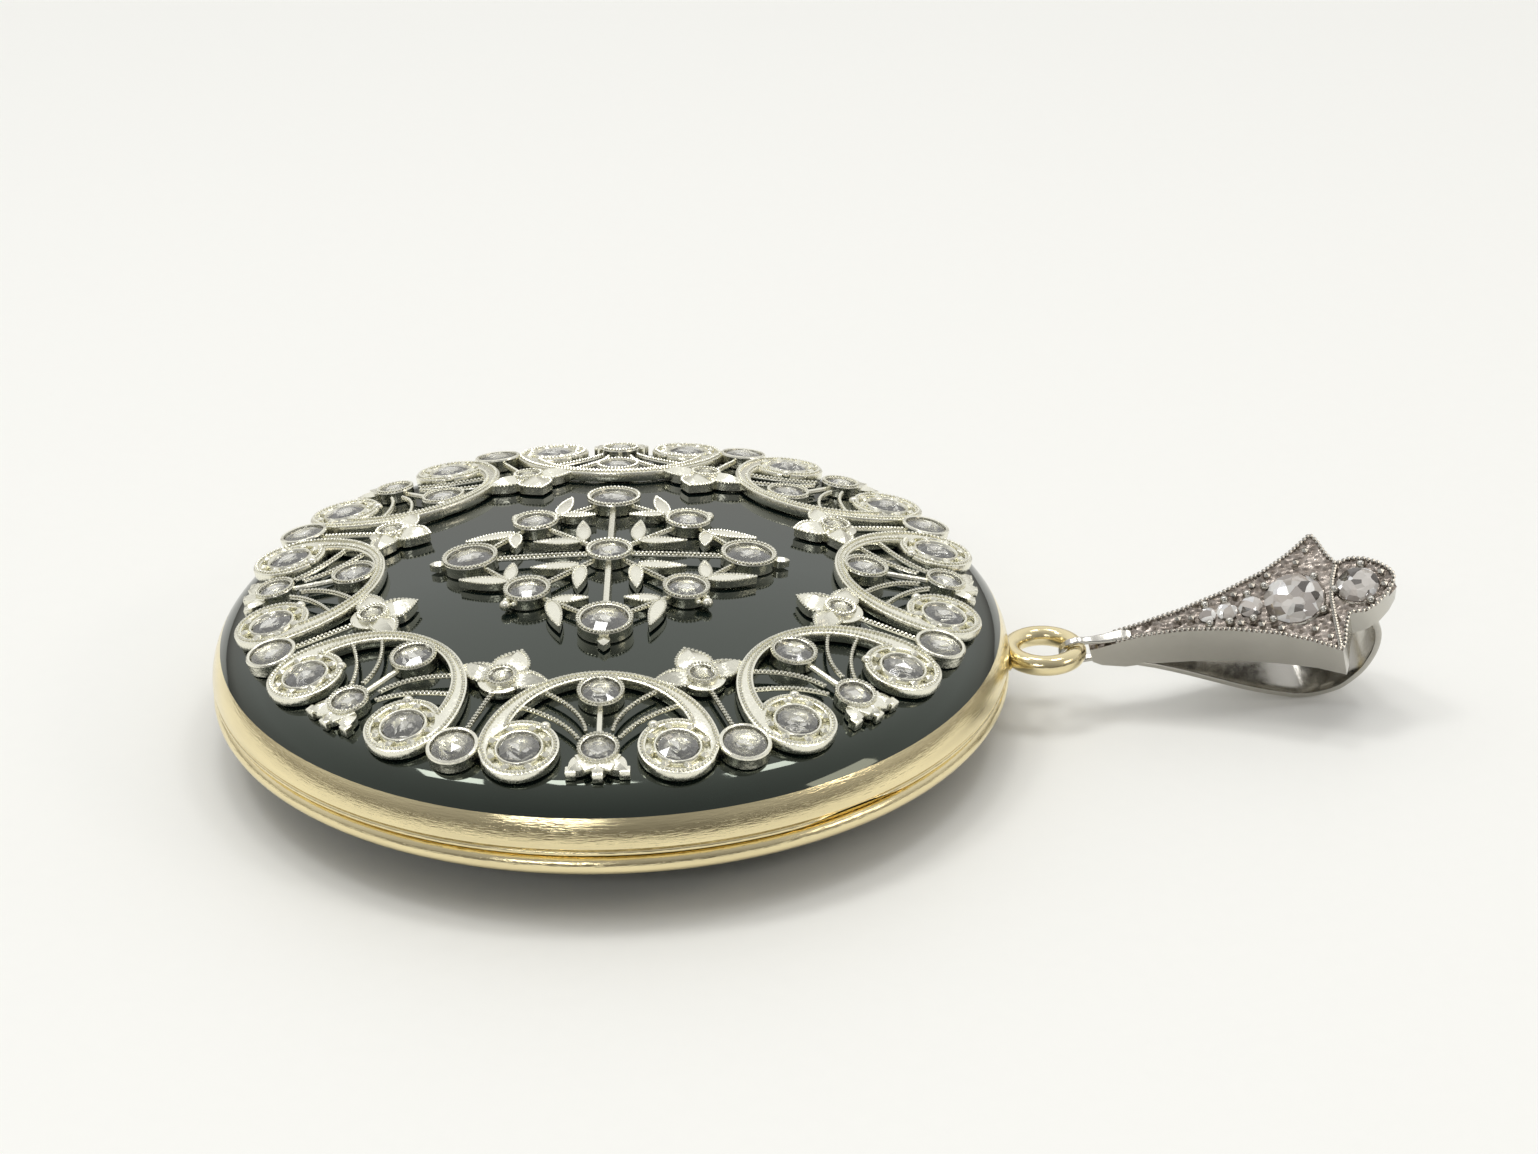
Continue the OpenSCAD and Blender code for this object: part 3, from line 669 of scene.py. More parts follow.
def photo_paper(tree, where):
    # Faded gelatin print, left blank: warm paper with browner mottling.
    mottle, fibre = noise(tree, where, 4.0, 5.0), noise(tree, where, 0.2, 2.0)
    return surface(
        tree, tinted(tree, mottle, *shades("paper", 0.62, 1.15)), ramp(tree, fibre, 0.45, 0.65),
        bumped(tree, fibre, 0.2, 0.00002),
    )


def cover_glass(tree, where):
    # Thin flat crystal over each picture: seen straight through, with a faint haze and gloss on top.
    swirl = noise(tree, where, 5.0, 1.0)
    return surface(
        tree, None, ramp(tree, swirl, 0.0, 0.03), IOR=1.52, Base_Color=linear("#DCE6E4"), Alpha=0.1,
    )


def hinge_steel(tree, where):
    # Drawn steel pin: fine lines along its length.
    drawn = noise(tree, stretched(tree, where, (1.0, 14.0, 14.0)), 1.5, 2.0)
    return surface(
        tree, tinted(tree, drawn, linear("#9EA1A3"), linear("#C6CACC")), ramp(tree, drawn, 0.22, 0.4),
        Metallic=1.0,
    )


def floor_paper(tree, where):
    # Smooth white card with a barely visible tooth.
    tooth = noise(tree, where, 0.8, 2.0)
    return surface(
        tree, tinted(tree, tooth, *shades("floor", 0.985, 1.0)), ramp(tree, tooth, 0.5, 0.6),
    )


# ---- pieces ----


class LocketPiece:
    bl_options = {"REGISTER", "UNDO"}

    def execute(self, context):
        scene = context.scene
        self.case, self.work = sizes(scene.locket_case), sizes(scene.locket_openwork)
        self.bail = sizes(scene.locket_bail)
        self.gold = material_of("polished_yellow_gold", gold)
        self.platinum = material_of("engraved_platinum", openwork_platinum)
        self.rose = material_of("old_rose_cut_stone", rose_cut_stone)
        self.build()
        return {"FINISHED"}

    def openwork(self, obj, name, *nodes, degrees=38.0):
        settled(smooth(obj, degrees))
        return finished(obj, name, self.platinum, "openwork_platinum", "cover", *nodes)

    def stones(self, obj, name, *nodes):
        return finished(settled(obj), name, self.rose, "rose_cut_diamond", "cover", *nodes)

    def seats(self, obj, name):
        # The seats' colour holds painted glints and dark reflections for the stones above them.
        painted_glint_seat = material_of("seat_painted_glints", stone_seat)
        return finished(settled(obj), name, painted_glint_seat, "openwork_platinum", "cover")


def seat_floor(r):
    """A thin dished disc that lines a setting under its stone."""
    low = SEAT_Z - 0.05
    return turned([(0, low), (r, low), (r, SEAT_Z), (r * 0.5, SEAT_Z - 0.008), (0, SEAT_Z)], 20)


class LOCKET_OT_enamel(LocketPiece, bpy.types.Operator):
    """Enamel of both covers"""

    bl_idname = "locket.enamel"
    bl_label = "Enamel"

    def build(self):
        s = self.case
        black = material_of("black_vitreous_enamel", enamel)
        front = turned(front_skin(s), CASE_STEPS)
        finished(smooth(front, 60), "front_enamel", black, "black_enamel", "cover", "front_panel")
        flat_h = 0.068
        edge_r, flat_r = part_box("back_panel")[1].x / MM, math.sqrt(2 * s.dome_r * flat_h)
        drop = s.dome_r - math.sqrt(s.dome_r ** 2 - flat_r ** 2)
        middle = s.dome_r - drop
        outer, inner = (
            [(r, middle - math.sqrt(dome_r ** 2 - r * r)) for r in np.linspace(*run)]
            for dome_r, run in ((s.dome_r, (flat_r, edge_r, 20)), (s.dome_r - s.enamel_t, (edge_r, 0, 12)))
        )
        back = turned([(0, 0)] + outer + inner, CASE_STEPS)
        finished(smooth(back, 60), "back_enamel", black, "black_enamel", "case_back", "back_panel")


def shoulder(s):
    """Centre of the shoulder's circle, and the radius where the enamel ends."""
    x = CASE_R / MM - s.shoulder_r
    middle = CROWN_Z / MM - s.dome_r
    z = middle + math.sqrt((s.dome_r - s.shoulder_r) ** 2 - x * x)
    edge = x + math.sqrt(s.shoulder_r ** 2 - (ENAMEL_EDGE_Z / MM - z) ** 2)
    return x, z, edge


def front_skin(s):
    """Section of the front enamel: dome, shoulder, and the same again inside."""
    x, z, edge = shoulder(s)
    middle = CROWN_Z / MM - s.dome_r
    join = math.degrees(math.atan2(z - middle, x))
    end = math.degrees(math.atan2(ENAMEL_EDGE_Z / MM - z, edge - x))
    return (
        arc(0, middle, s.dome_r, 90, join, 26)
        + arc(x, z, s.shoulder_r, join, end, 10)[1:]
        + arc(x, z, s.shoulder_r - s.enamel_t, end, join, 6)
        + arc(0, middle, s.dome_r - s.enamel_t, join, 90, 13)[1:]
    )


class LOCKET_OT_rims(LocketPiece, bpy.types.Operator):
    """Gold rims of both halves, with the thumbnail nick"""

    bl_idname = "locket.rims"
    bl_label = "Rims"

    def build(self):
        s = self.case
        x, z, edge = shoulder(s)
        case_r, low = CASE_R / MM, FRONT_LOW / MM
        top = math.degrees(math.atan2(ENAMEL_EDGE_Z / MM - z, edge - x))
        bead = s.rim_bead_r
        section = (
            arc(x, z, s.shoulder_r, top, 5.5, 12)
            + [(case_r - 0.06, low + 0.3)]
            + arc(case_r - bead - 0.01, low + bead + 0.03, bead, 70, -80, 7)
            + [(case_r - 0.2, low), (case_r - 0.9, low), (case_r - 0.9, z + 1.1)]
        )
        rim = turned(section, CASE_STEPS)
        nick_r = (s.nick_w ** 2 / 4 + s.nick_h ** 2) / (2 * s.nick_h)
        cutter = added(bpy.ops.mesh.primitive_cylinder_add, vertices=256, radius=nick_r, depth=2.2)
        cutter.data.transform(
            Matrix.Rotation(math.radians(s.nick_angle), 4, "Z")
            @ Matrix.Translation((case_r + 0.5, 0, low + s.nick_h - nick_r))
            @ Matrix.Rotation(math.radians(90), 4, "Y")
        )
        cut(rim, cutter)
        finished(smooth(healed(rim), 35), "front_gold_rim", self.gold, "yellow_gold", "cover", "front_rim")
        r = (BACK_TOP - BACK_LOW) / 2 / MM
        inner_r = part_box("back_panel")[1].x / MM - 0.01
        rim = turned(
            arc(case_r - r, BACK_LOW / MM + r, r, 90, -90, 14)
            + [(inner_r, BACK_LOW / MM), (inner_r, BACK_TOP / MM)], CASE_STEPS,
        )
        finished(smooth(rim, 35), "back_gold_rim", self.gold, "yellow_gold", "case_back", "back_rim")


class LOCKET_OT_loop(LocketPiece, bpy.types.Operator):
    """Gold loop that carries the bail"""

    bl_idname = "locket.loop"
    bl_label = "Loop"

    def build(self):
        s = self.case
        case_r = CASE_R / MM
        loop = added(
            bpy.ops.mesh.primitive_torus_add, major_radius=s.loop_r, minor_radius=s.loop_wire_r,
            major_segments=72, minor_segments=24,
        )
        moved(loop, case_r + LOOP_OUT, 0, EYE.z / MM)
        edited(loop, (bpy.ops.mesh.bisect, {
            "plane_co": (case_r + 0.03, 0, 0), "plane_no": (1, 0, 0), "clear_inner": True, "use_fill": True,
        }))
        solder = ball(1, 0, 0, 0)
        solder.data.transform(
            Matrix.Translation((case_r - 0.1, 0, BACK_TOP / MM - 0.36))
            @ Matrix.Diagonal((0.4, 1.25, 0.35, 1))
        )
        loop = smooth(joined(loop, solder))
        finished(loop, "gold_loop", self.gold, "yellow_gold", "case_back", "pendant_loop")


def circles_meet(a, ra, b, rb):
    """The two points where two circles cross."""
    a, b = np.array(a, float), np.array(b, float)
    d = np.linalg.norm(b - a)
    along = (d * d + ra * ra - rb * rb) / (2 * d)
    off = math.sqrt(max(0.0, ra * ra - along * along))
    u = (b - a) / d
    across = np.array([-u[1], u[0]])
    return a + u * along + across * off, a + u * along - across * off


def bearing(centre, point):
    return math.degrees(math.atan2(point[1] - centre[1], point[0] - centre[0]))


def arch_outline(w, inset=0.0):
    """Outline of one arch with its scrolls: the outer run, the scroll heads and the opening."""
    outer, inner = (w.arch_at, 0), (w.arch_in_at, 0)
    head = (w.scroll_out, w.scroll_side)
    r_out, r_in, r_head = w.arch_r - inset, w.arch_in_r + inset, w.scroll_r - inset
    meet = circles_meet(inner, r_in, head, r_head)
    into = min(meet, key=lambda p: p[0])
    side = (
        arc(*outer, r_out, 180, 97, 22)
        + arc(*head, r_head, 66, -185, 34)
        + arc(*head, r_head, -185, bearing(head, into) - 360, 6)[1:]
        + arc(*inner, r_in, bearing(inner, into), 180, 18)[1:]
    )
    return side + [(x, -y) for x, y in side[-2:0:-1]]


class LOCKET_OT_arches(LocketPiece, bpy.types.Operator):
    """Crescent arches with scrolled, stone-set ends"""

    bl_idname = "locket.arches"
    bl_label = "Arches"

    def build(self):
        w = self.work
        seat_r, stone_r, held_r = 1.4, 0.86, 1.21
        heads = [(w.scroll_out, w.scroll_side), (w.scroll_out, -w.scroll_side)]
        holes = [circle(seat_r, *head, 28) for head in heads]
        body = plate([arch_outline(w)] + holes, w.plate_low, w.plate_high, 0.09)
        edge = milgrain(arch_outline(w, 0.09), w.grain_r, w.plate_high + 0.02, True)
        seat = turned([
            (0, 0.1), (seat_r + 0.04, 0.1), (seat_r + 0.04, 0.36), (1.08, 0.34), (1.04, 0.52),
            (0.98, 0.58), (0.92, 0.57), (stone_r, 0.48), (stone_r - 0.04, 0.32), (0, 0.3),
        ], 28)
        seats = copied(seat, *[(*head, 0) for head in heads])
        held = [(*polar(held_r, a, *head), 0.47) for head in heads for a in range(20, 380, 45)]
        tips = [ball(0.24, w.scroll_out - 1.17, side * (w.scroll_side - 1.02), 0.5) for side in (1, -1)]
        link = ball(0.17, w.arch_at - w.arch_r + 0.42, 0, 0.52, 0.8)
        arch = joined(body, edge, seats, grains(held, 0.22), *tips, link)
        self.openwork(round_the_cover(arch), "arches", "garland_arches")
        stone = copied(rose_cut(stone_r, STONE_LOW, 0.48, 0.74), *[(*head, 10) for head in heads])
        self.stones(round_the_cover(stone), "scroll_diamonds", "scroll_stones")
        floors = copied(seat_floor(stone_r - 0.04), *[(*head, 0) for head in heads])
        self.seats(round_the_cover(floors), "scroll_seats")


class LOCKET_OT_ribs(LocketPiece, bpy.types.Operator):
    """Fan of fine wires inside each arch"""

    bl_idname = "locket.ribs"
    bl_label = "Ribs"

    def build(self):
        w = self.work
        runs = [
            [(13.75, 0.55), (12.45, 1.08), (11.22, 2.33)],
            [(14.2, 0.86), (13.06, 1.8), (12.12, 3.24)],
        ]
        parts, rib_z = [], 0.34
        for run in runs:
            bend = [
                tuple((1 - u) ** 2 * a + 2 * u * (1 - u) * (2 * b - (a + c) / 2) + u * u * c
                      for a, b, c in zip(*run))
                for u in np.linspace(0, 1, 12)
            ]
            for side in (1, -1):
                path = [(x, side * y, rib_z) for x, y in bend]
                parts += beaded(path, w.wire_r, w.grain_r, 0.43)
        stem = [(w.apex_at + 0.9, 0, rib_z), (w.base_at - 0.8, 0, rib_z)]
        parts.append(wire(stem, 0.14))
        self.openwork(round_the_cover(joined(*parts)), "ribs", "garland_ribs")


class LOCKET_OT_crowns(LocketPiece, bpy.types.Operator):
    """Crown of three leaves on three feet at each arch's foot"""

    bl_idname = "locket.crowns"
    bl_label = "Crowns"

    def build(self):
        w = self.work
        parts = []
        for turn, reach in ((-45, 1.62), (0, 1.34), (45, 1.62)):
            cusp = leaf(reach - 0.55, 0.85, LEAF_LOW, LEAF_TOP, 0.14)
            parts.append(moved(cusp, *polar(0.62, turn, w.base_at), 0, turn))
            foot = added(bpy.ops.mesh.primitive_cube_add, size=1, scale=(0.4, 0.46, 0.46))
            modified(foot, "BEVEL", width=0.05, segments=2)
            parts.append(moved(foot, *polar(reach - 0.06, turn, w.base_at), 0.24))
        zigzag = [
            polar(1.36 if i % 2 else 1.0, a, w.base_at) for i, a in enumerate((-66, -22, 0, 22, 66))
        ]
        inner = arc(w.base_at, 0, 0.84, 66, -66, 12)
        parts.append(plate([zigzag + inner], 0.3, 0.58, 0.03))
        self.openwork(round_the_cover(joined(*parts)), "crowns", "garland_crowns", degrees=25)


class LOCKET_OT_trefoils(LocketPiece, bpy.types.Operator):
    """Trefoils on beaded bars between the arches"""

    bl_idname = "locket.trefoils"
    bl_label = "Trefoils"

    def build(self):
        w = self.work
        parts = []
        long, off = 1.65, 0.35
        for turn, width in ((180, 1.65), (100, 1.25), (-100, 1.25)):
            petal = leaf(long, width, LEAF_LOW, LEAF_TOP, 0.32)
            petal = joined(petal, leaf_edge(long, width, w.grain_r, 0.48))
            parts.append(moved(petal, *polar(off, turn, w.trefoil_at), 0, turn))
        base = plate([circle(0.98, w.trefoil_at, 0, 28)], LEAF_LOW, LEAF_TOP)
        bar = [(w.trefoil_at + 0.9, 0, BAR_Z), (w.ring_at - 1.0, 0, BAR_Z)]
        parts += [base] + beaded(bar, 0.1, w.grain_r, BAR_GRAIN_Z)
        self.openwork(round_the_cover(joined(*parts), PITCH / 2), "trefoils", "garland_trefoils")


class LOCKET_OT_collets(LocketPiece, bpy.types.Operator):
    """Collets and stones of the garland"""

    bl_idname = "locket.collets"
    bl_label = "Garland collets"

    def build(self):
        w = self.work
        half = PITCH / 2
        rows = [
            ("garland", "ring_collets", "ring_diamonds", w.ring_at, half, 1.08, 0.02, False),
            ("apex", "apex_collets_set", "apex_diamonds", w.apex_at, 0, 0.98, 0.0, True),
            ("base", "crown_collets", "crown_diamonds", w.base_at, 0, 0.86, 0.0, True),
            ("trefoil", "trefoil_collets_set", "trefoil_diamonds", w.trefoil_at, half, 0.68, 0.02, True),
        ]
        for node, name, stones, at, first, r, lift, edged in rows:
            parts = [collet(r, w.collet_h + lift)]
            if edged:
                parts.append(milgrain(circle(r - 0.05), w.grain_r * 0.9, w.collet_h + lift, True))
            cup = moved(joined(*parts), at)
            self.openwork(round_the_cover(cup, first), name, node + "_collets")
            stone = rose_cut(r - 0.17, STONE_LOW, 0.52 + lift, 0.75 + lift)
            moved(stone, at, turn=at * 40 % 60)
            self.stones(round_the_cover(stone, first), stones, node + "_stones")
            self.seats(round_the_cover(moved(seat_floor(r - 0.19), at), first), node + "_seats")


class LOCKET_OT_lozenge(LocketPiece, bpy.types.Operator):
    """Lozenge of bars, leaves, collets and stones in the middle of the cover"""

    bl_idname = "locket.lozenge"
    bl_label = "Lozenge"

    def build(self):
        w = self.work
        square, diagonal = (0, 90, 180, 270), (45, 135, 225, 315)
        spots = [(0.0, 0.0, 1.02)]
        spots += [(w.corner_at, a, 1.22) for a in square]
        spots += [(w.side_at, a, 1.02) for a in diagonal]
        cups, stones, floors = [], [], []
        for at, a, r in spots:
            cup = joined(
                collet(r, w.collet_h, 0.19),
                milgrain(circle(r - 0.05), w.grain_r, w.collet_h, True),
            )
            cups.append(moved(moved(cup, at), turn=a))
            stones.append(moved(moved(rose_cut(r - 0.2, STONE_LOW, 0.5, 0.76), at, turn=17), turn=a))
            floors.append(moved(moved(seat_floor(r - 0.22), at), turn=a))
        self.openwork(joined(*cups), "lozenge_cups", "lozenge_collets")
        self.stones(joined(*stones), "lozenge_diamonds", "lozenge_stones")
        self.seats(joined(*floors), "lozenge_seats")

        bars = []
        for a in square:
            run = [(0.95, 0, BAR_Z), (w.corner_at - 1.15, 0, BAR_Z)]
            thin = a in (0, 180)
            parts = beaded(run, 0.1, w.grain_r, BAR_GRAIN_Z) if thin else [wire(run, 0.17)]
            tip = moved(leaf(0.72, 0.55, LEAF_LOW, 0.42, 0.12), w.corner_at + 1.12)
            parts.append(joined(tip, ball(0.2, w.corner_at + 1.58, 0, 0.34, 0.8)))
            bars.append(moved(joined(*parts), turn=a))
        for a in diagonal:
            run = [(0.95, 0, BAR_Z), (w.side_at - 0.95, 0, BAR_Z)]
            parts = beaded(run, 0.1, w.grain_r, BAR_GRAIN_Z)
            parts.append(ball(0.27, w.side_at + 1.3, 0, 0.34, 0.9))
            parts += [ball(0.15, w.side_at + 1.02, side * 0.26, 0.34) for side in (1, -1)]
            for side in (1, -1):
                start = np.array([w.side_at, 0.0])
                end = w.corner_at * np.array([math.sqrt(0.5), side * math.sqrt(0.5)])
                way = (end - start) / np.linalg.norm(end - start)
                edge = [(*(start + way * 0.95), BAR_Z), (*(end - way * 1.15), BAR_Z)]
                parts += beaded(edge, 0.09, w.grain_r, 0.41)
            bars.append(moved(joined(*parts), turn=a))
        self.openwork(joined(*bars), "lozenge_bars", "lozenge_frame")

        # Each leaf of one side stone: (x, y) of its foot and tip, with the stone on the diagonal,
        # and its width. The same leaf is mirrored in the diagonal.
        pairs = [
            ((1.19, 1.30), (1.31, 3.40), 0.66),
            ((2.33, 4.31), (0.76, 4.24), 0.62),
            ((2.43, 4.34), (1.94, 6.57), 0.7),
        ]
        leaves = []
        for foot, tip, width in pairs:
            for fx, fy, tx, ty in ((*foot, *tip), (*foot[::-1], *tip[::-1])):
                long = math.hypot(tx - fx, ty - fy)
                piece = leaf(long, width, 0.12, LEAF_TOP, 0.1)
                piece = joined(piece, leaf_edge(long, width, w.grain_r * 0.8, LEAF_TOP))
                leaves.append(moved(piece, fx, fy, 0, bearing((fx, fy), (tx, ty))))
        whole = copied(joined(*leaves), *[(0, 0, a) for a in square])
        self.openwork(whole, "lozenge_leaf_pairs", "lozenge_leaves")


def crest(s, x):
    """Height of the bail's front above the line from its eye to its tip."""
    u = x / s.length
    return 4 * u * (1 - u) * (0.22 + 0.55 * (1 - 2 * u))


# Half width of the bail's front, and height of its walls' lower edge, along it from the eye.
BAIL_SIDE = [
    (0.6, 0.26), (1.0, 0.32), (3, 0.38), (5, 0.62), (7, 1.1), (9, 1.8), (10.4, 2.55), (11.55, 3.35),
    (11.75, 2.95), (12.0, 2.1), (12.3, 1.45), (13.0, 1.56), (13.6, 1.35), (14.1, 0.98), (14.5, 0.5),
    (14.68, 0.04),
]
BAIL_UNDER = [
    (0.6, -0.85), (0.8, -1.1), (2, -1.7), (5, -2.1), (9, -2.3), (11.55, -2.0), (13.0, -1.4), (14.9, -1.1),
]


def along(table, x):
    xs, ys = zip(*table)
    return float(np.interp(x, xs, ys))


def resting(s):
    """The turn from the bail's own frame to the way it rests."""
    return (
        Matrix.Rotation(math.radians(-s.pitch), 4, "Y") @ Matrix.Rotation(math.radians(s.roll), 4, "X")
    )


def hung(obj, s):
    """Moves a piece from the bail's own frame to where the bail rests."""
    obj.data.transform(Matrix.Translation(EYE / MM) @ resting(s))
    return obj


class LOCKET_OT_bail(LocketPiece, bpy.types.Operator):
    """Bail: front with deep side walls, strap, eye, stones and grains"""

    bl_idname = "locket.bail"
    bl_label = "Bail"

    def build(self):
        s, grain = self.bail, self.work.grain_r
        metal = material_of("worn_polished_platinum", bail_platinum)
        seats = [(10.07, s.main_stone_r, 0.9), (13.0, s.petal_stone_r, 0.65)]
        seats += [(8.09, 0.56, 0.35), (7.02, 0.48, 0.32), (6.12, 0.4, 0.3)]

        def finish(obj, name, *nodes, degrees=38.0):
            return finished(hung(smooth(obj, degrees), s), name, metal, "bail_platinum", "bail", *nodes)

        def on_front(column, t):
            x = columns[column]
            return x, t * along(BAIL_SIDE, x), crest(s, x) - 0.1 * (1 - t * t) * (x > 4)

        columns = sorted(set(list(np.linspace(0.6, 11.4, 32)) + [x for x, _ in BAIL_SIDE]))
        front = sheet(len(columns), 14, on_front)
        well_below = -9
        edited(
            front,
            (bpy.ops.mesh.region_to_loop, {}),
            (bpy.ops.mesh.extrude_region_move, {"TRANSFORM_OT_translate": {"value": (0, 0, well_below)}}),
        )
        for vertex in front.data.vertices:
            if vertex.co.z < well_below / 2:
                vertex.co.z = along(BAIL_UNDER, vertex.co.x)
        healed(front, 0.002)
        modified(front, "SOLIDIFY", thickness=s.wall_t, offset=-1.0, use_even_offset=False)
        for x, r, _ in seats[:2]:
            cutter = added(bpy.ops.mesh.primitive_cylinder_add, vertices=40, radius=r + 0.02, depth=1.6)
            cut(front, moved(cutter, x, 0, crest(s, x)), use_self=True)
        parts = [front]
        for x, r, deep in seats[:2]:
            cup = turned([
                (0, -deep - 0.12), (r * 0.4, -deep - 0.1), (r + 0.06, -0.3), (r + 0.1, -0.02),
                (r + 0.05, 0.05), (r - 0.02, 0.04), (r - 0.04, -0.08), (r * 0.4, -deep + 0.02), (0, -deep),
            ], 40)
            parts.append(moved(cup, x, 0, crest(s, x) - 0.06))
        front = finish(healed(joined(*parts)), "bail_front", "bail_plate", degrees=30)
        # The upward faces take the ground's finish, whose colour holds painted shade in its pits.
        front.data.materials.append(material_of("pitted_platinum_ground", pitted_platinum))
        up = resting(s).to_3x3() @ Vector((0, 0, 1))
        for face in front.data.polygons:
            face.material_index = int(face.normal.dot(up) > 0.8)

        edge = [(x, along(BAIL_SIDE, x) - grain * 0.8) for x in np.linspace(1.9, 14.66, 160)]
        rim = evenly(edge + [(x, -y) for x, y in edge[::-1]], grain * 2.5, False)
        rim[:, 2] = [crest(s, x) + 0.05 for x in rim[:, 0]]
        line = [(12.25, 1.25), (11.95, 0.55), (11.72, -0.3), (11.62, -1.4), (11.5, -3.15)]
        ridge = evenly(line, grain * 1.6, False)
        ridge[:, 2] = [crest(s, x) + 0.03 for x in ridge[:, 0]]
        prongs = []
        for (x, r, _), turns in zip(seats, [(40, 140, 220, 320), (70, 180, 290)] + [(90, 270)] * 3):
            for a in turns:
                px, py = polar(r + 0.13, a, x)
                prongs.append((px, py, crest(s, px) + 0.03))
        spots = (
            (11.15, 2.45), (11.2, -2.45), (10.6, 1.9), (10.65, -1.9), (9.2, 1.5), (9.2, -1.5), (8.4, 1.1),
            (8.4, -1.1), (7.5, 0.8), (7.5, -0.8), (14.15, 0.35), (14.15, -0.35), (4.8, 0.1), (5.4, 0.0),
        )
        loose = grains([(x, y, crest(s, x) + 0.02) for x, y in spots], 0.19)
        trim = joined(grains(rim, grain * 1.25), grains(ridge, grain * 1.4), loose)
        finish(trim, "bail_milgrain")
        finish(joined(*[ball(0.21, *p) for p in prongs]), "bail_grains", "bail_prongs")

        self.strap(s, finish)
        self.hook(s, finish)

        clear = material_of("old_european_cut_stone", brilliant_stone)
        for name, node, chosen in (
            ("main_diamond", "bail_main_stone", seats[:1]),
            ("petal_diamond", "bail_petal_stone", seats[1:2]),
            ("small_diamonds", "bail_taper_stones", seats[2:]),
        ):
            made = [
                moved(brilliant(r, 0.02, r * 0.26, deep * 0.8), x, 0, crest(s, x))
                for x, r, deep in chosen
            ]
            finished(hung(joined(*made), s), name, clear, "brilliant_diamond", "bail", node)

    def hook(self, s, finish):
        """A narrow strip that runs off the neck, over the loop's wire and back under it."""
        def on_hook(step, t):
            x, z = path[step]
            return x, t * max(0.17, 0.34 - 0.04 * step), z

        neck = [(2.7, crest(s, 2.7) - 0.14), (2.1, crest(s, 2.1) + 0.03)]
        neck += [(1.6, 0.34), (1.1, 0.42), (0.8, 0.49)]
        path = neck + arc(0, 0, 0.72, 54, 250, 20) + [(0.1, -0.76), (0.6, -0.82), (1.1, -0.87)]
        strip = sheet(len(path), 4, on_hook)
        modified(strip, "SOLIDIFY", thickness=0.2, offset=0.0)
        modified(strip, "BEVEL", width=0.06, segments=3, limit_method="ANGLE")
        finish(healed(strip, 0.0004), "bail_hook", "bail_eye")

    def strap(self, s, finish):
        """A strip of sheet metal that leaves the neck and curls under the front."""
        def on_strap(step, t):
            x, z = line[step]
            return x, t * along(plan, x), z

        plan = [
            (2.4, 0.35), (3, 0.4), (4.5, 0.75), (6, 1.2), (7.4, 1.6), (9.1, 1.87), (11.3, 1.87),
            (12.5, 1.65), (13.8, 1.25),
        ]
        centre, start = np.array([s.length - 4.24, -2.25]), np.array([2.6, -1.7])
        lean = math.degrees(math.asin(s.strap_r / np.linalg.norm(centre - start)))
        curl = arc(*centre, s.strap_r, bearing(start, centre) - lean - 90, 20, 24)
        run = np.array(curl[0]) - start
        line = [tuple(start + run * u) for u in np.linspace(0, 1, 10)[:-1]] + curl
        strap = sheet(len(line), 8, on_strap)
        modified(strap, "SOLIDIFY", thickness=s.strap_t, offset=0.0)
        modified(strap, "BEVEL", width=0.07, segments=2, limit_method="ANGLE")
        finish(healed(strap, 0.0004), "bail_strap_curl", "bail_strap")


class LOCKET_OT_inside(LocketPiece, bpy.types.Operator):
    """Finishes of the pans, bezel, hinge, photographs, glasses and rivets"""

    bl_idname = "locket.inside"
    bl_label = "Inside"

    def build(self):
        paper = material_of("faded_photograph_paper", photo_paper)
        glass = material_of("cover_crystal", cover_glass)
        steel = material_of("drawn_hinge_steel", hinge_steel)
        finishes = {
            self.gold: ("back_pan", "snap_bezel", "back_photo_frame", "back_knuckles", "front_pan",
                        "front_photo_frame", "front_knuckle"),
            self.platinum: ("garland_rivets", "lozenge_rivets"),
            paper: ("back_photo", "front_photo"),
            glass: ("back_glass", "front_glass"),
            steel: ("hinge_pin",),
        }
        for material, names in finishes.items():
            for name in names:
                node = frame["nodes"][name]
                node.data.materials.clear()
                node.data.materials.append(material)


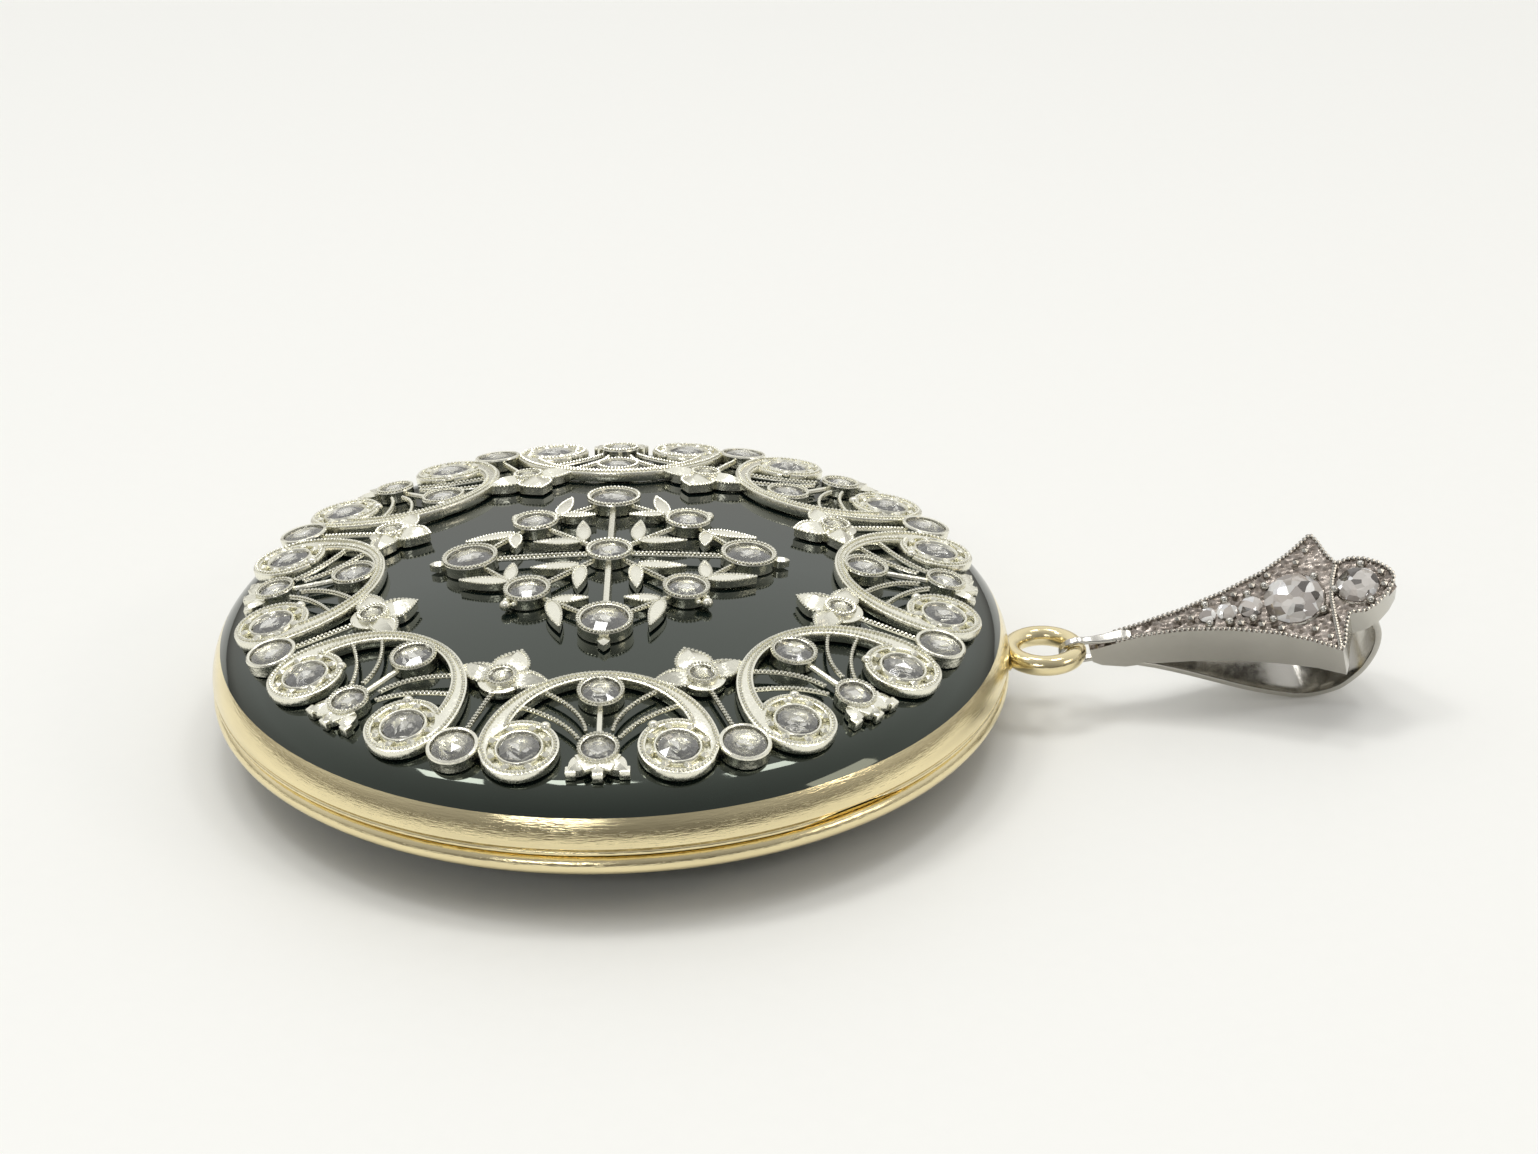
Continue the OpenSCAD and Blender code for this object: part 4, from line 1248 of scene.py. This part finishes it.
class LOCKET_OT_stage(bpy.types.Operator):
    """Floor, soft light and camera"""

    bl_idname = "locket.stage"
    bl_label = "Stage"
    bl_options = {"REGISTER", "UNDO"}

    def execute(self, context):
        scene = context.scene
        floor = added(bpy.ops.mesh.primitive_plane_add, size=3, location=(0, 0, -0.00001))
        floor.name = floor.data.name = "floor"
        floor.data.materials.append(material_of("white_card", floor_paper))
        for name, place, size, power, tint in (
            ("key_softbox", (-0.06, -0.02, 0.42), (0.34, 0.34), 0.36, "#FFFDF8"),
            ("left_square", (-0.16, 0.04, 0.38), (0.07, 0.07), 0.14, "#FFFFFF"),
            ("middle_square", (-0.03, 0.10, 0.40), (0.07, 0.07), 0.14, "#FFFFFF"),
            ("right_square", (0.13, 0.06, 0.38), (0.07, 0.07), 0.12, "#FFFFFF"),
            ("front_strip", (-0.10, -0.34, 0.22), (0.16, 0.04), 0.12, "#FFFFFF"),
            ("fill_strip", (0.30, -0.10, 0.20), (0.12, 0.06), 0.08, "#FFF4E6"),
        ):
            light = bpy.data.lights.new(name, "AREA")
            light.shape, light.size, light.size_y = "RECTANGLE", size[0], size[1]
            light.energy, light.color = power, linear(tint)[:3]
            lamp = bpy.data.objects.new(name, light)
            aim = Vector(place).to_track_quat("Z", "Y").to_matrix().to_4x4()
            lamp.matrix_world = Matrix.Translation(place) @ aim
            # The wide key is left out of the gloss, where it would show as a hard white patch.
            lamp.visible_glossy = name != "key_softbox"
            context.collection.objects.link(lamp)
        world = bpy.data.worlds.new("studio")
        world.use_nodes = True
        tree = world.node_tree
        tree.nodes.clear()
        where = add(tree, "ShaderNodeTexCoord").outputs["Generated"]
        parts = add(tree, "ShaderNodeSeparateXYZ", {"Vector": where}).outputs
        sky = add(tree, "ShaderNodeValToRGB", {"Fac": parts["Z"]})
        stops = sky.color_ramp.elements
        stops[0].position, stops[0].color = 0.0, linear("#8E8A84")
        stops[1].position, stops[1].color = 0.42, linear("#FFFFFF")
        stops.new(0.16).color = linear("#D8D6D2")
        away = ramp(tree, parts["Y"], 0.28, 0.92, -0.9, 0.7)
        light = add(tree, "ShaderNodeBackground", {"Color": sky.outputs["Color"], "Strength": away})
        add(tree, "ShaderNodeOutputWorld", {"Surface": light.outputs[0]})
        scene.world = world
        scene.view_settings.view_transform = "Standard"
        camera = bpy.data.cameras.new("camera")
        camera.lens, camera.sensor_width, camera.clip_start = VIEW_LENS, 36, 0.005
        view = bpy.data.objects.new("camera", camera)
        context.collection.objects.link(view)
        turn, rise, roll = (math.radians(a) for a in VIEW_TURNS)
        back = Vector((math.sin(turn) * math.cos(rise), -math.cos(turn) * math.cos(rise), math.sin(rise)))
        right = Vector((math.cos(turn), math.sin(turn), 0))
        up = back.cross(right)
        level = right * math.cos(roll) + up * math.sin(roll)
        upright = up * math.cos(roll) - right * math.sin(roll)
        facing = Matrix((level, upright, back)).transposed().to_4x4()
        view.matrix_world = Matrix.Translation(Vector(VIEW_PLACE) * MM) @ facing
        scene.camera = view
        return {"FINISHED"}


class LOCKET_PT_panel(bpy.types.Panel):
    """Sizes and pieces of the locket"""

    bl_idname = "LOCKET_PT_panel"
    bl_label = "Locket"
    bl_space_type = "VIEW_3D"
    bl_region_type = "UI"
    bl_category = "Locket"

    def draw(self, context):
        for group in GROUPS:
            box = self.layout.box()
            props = getattr(context.scene, group)
            for key in props.bl_rna.properties.keys():
                if key not in ("name", "rna_type"):
                    box.prop(props, key)
        for operator in OPERATORS:
            self.layout.operator(operator.bl_idname)


GROUPS = {
    "locket_case": LocketCaseSizes,
    "locket_openwork": LocketOpenworkSizes,
    "locket_bail": LocketBailSizes,
    "locket_finishes": LocketFinishes,
}
OPERATORS = (
    LOCKET_OT_enamel, LOCKET_OT_rims, LOCKET_OT_loop, LOCKET_OT_arches, LOCKET_OT_ribs,
    LOCKET_OT_crowns, LOCKET_OT_trefoils, LOCKET_OT_collets, LOCKET_OT_lozenge, LOCKET_OT_bail,
    LOCKET_OT_inside, LOCKET_OT_stage,
)


def register():
    for cls in (*GROUPS.values(), *OPERATORS, LOCKET_PT_panel):
        bpy.utils.register_class(cls)
    for name, cls in GROUPS.items():
        setattr(bpy.types.Scene, name, bpy.props.PointerProperty(type=cls))


def unregister():
    for name in GROUPS:
        delattr(bpy.types.Scene, name)
    for cls in reversed((*GROUPS.values(), *OPERATORS, LOCKET_PT_panel)):
        bpy.utils.unregister_class(cls)


def main():
    register()
    bpy.ops.locket.enamel()
    bpy.ops.locket.rims()
    bpy.ops.locket.loop()
    bpy.ops.locket.arches()
    bpy.ops.locket.ribs()
    bpy.ops.locket.crowns()
    bpy.ops.locket.trefoils()
    bpy.ops.locket.collets()
    bpy.ops.locket.lozenge()
    bpy.ops.locket.bail()
    bpy.ops.locket.inside()
    bpy.ops.locket.stage()


if __name__ == "__main__":
    main()
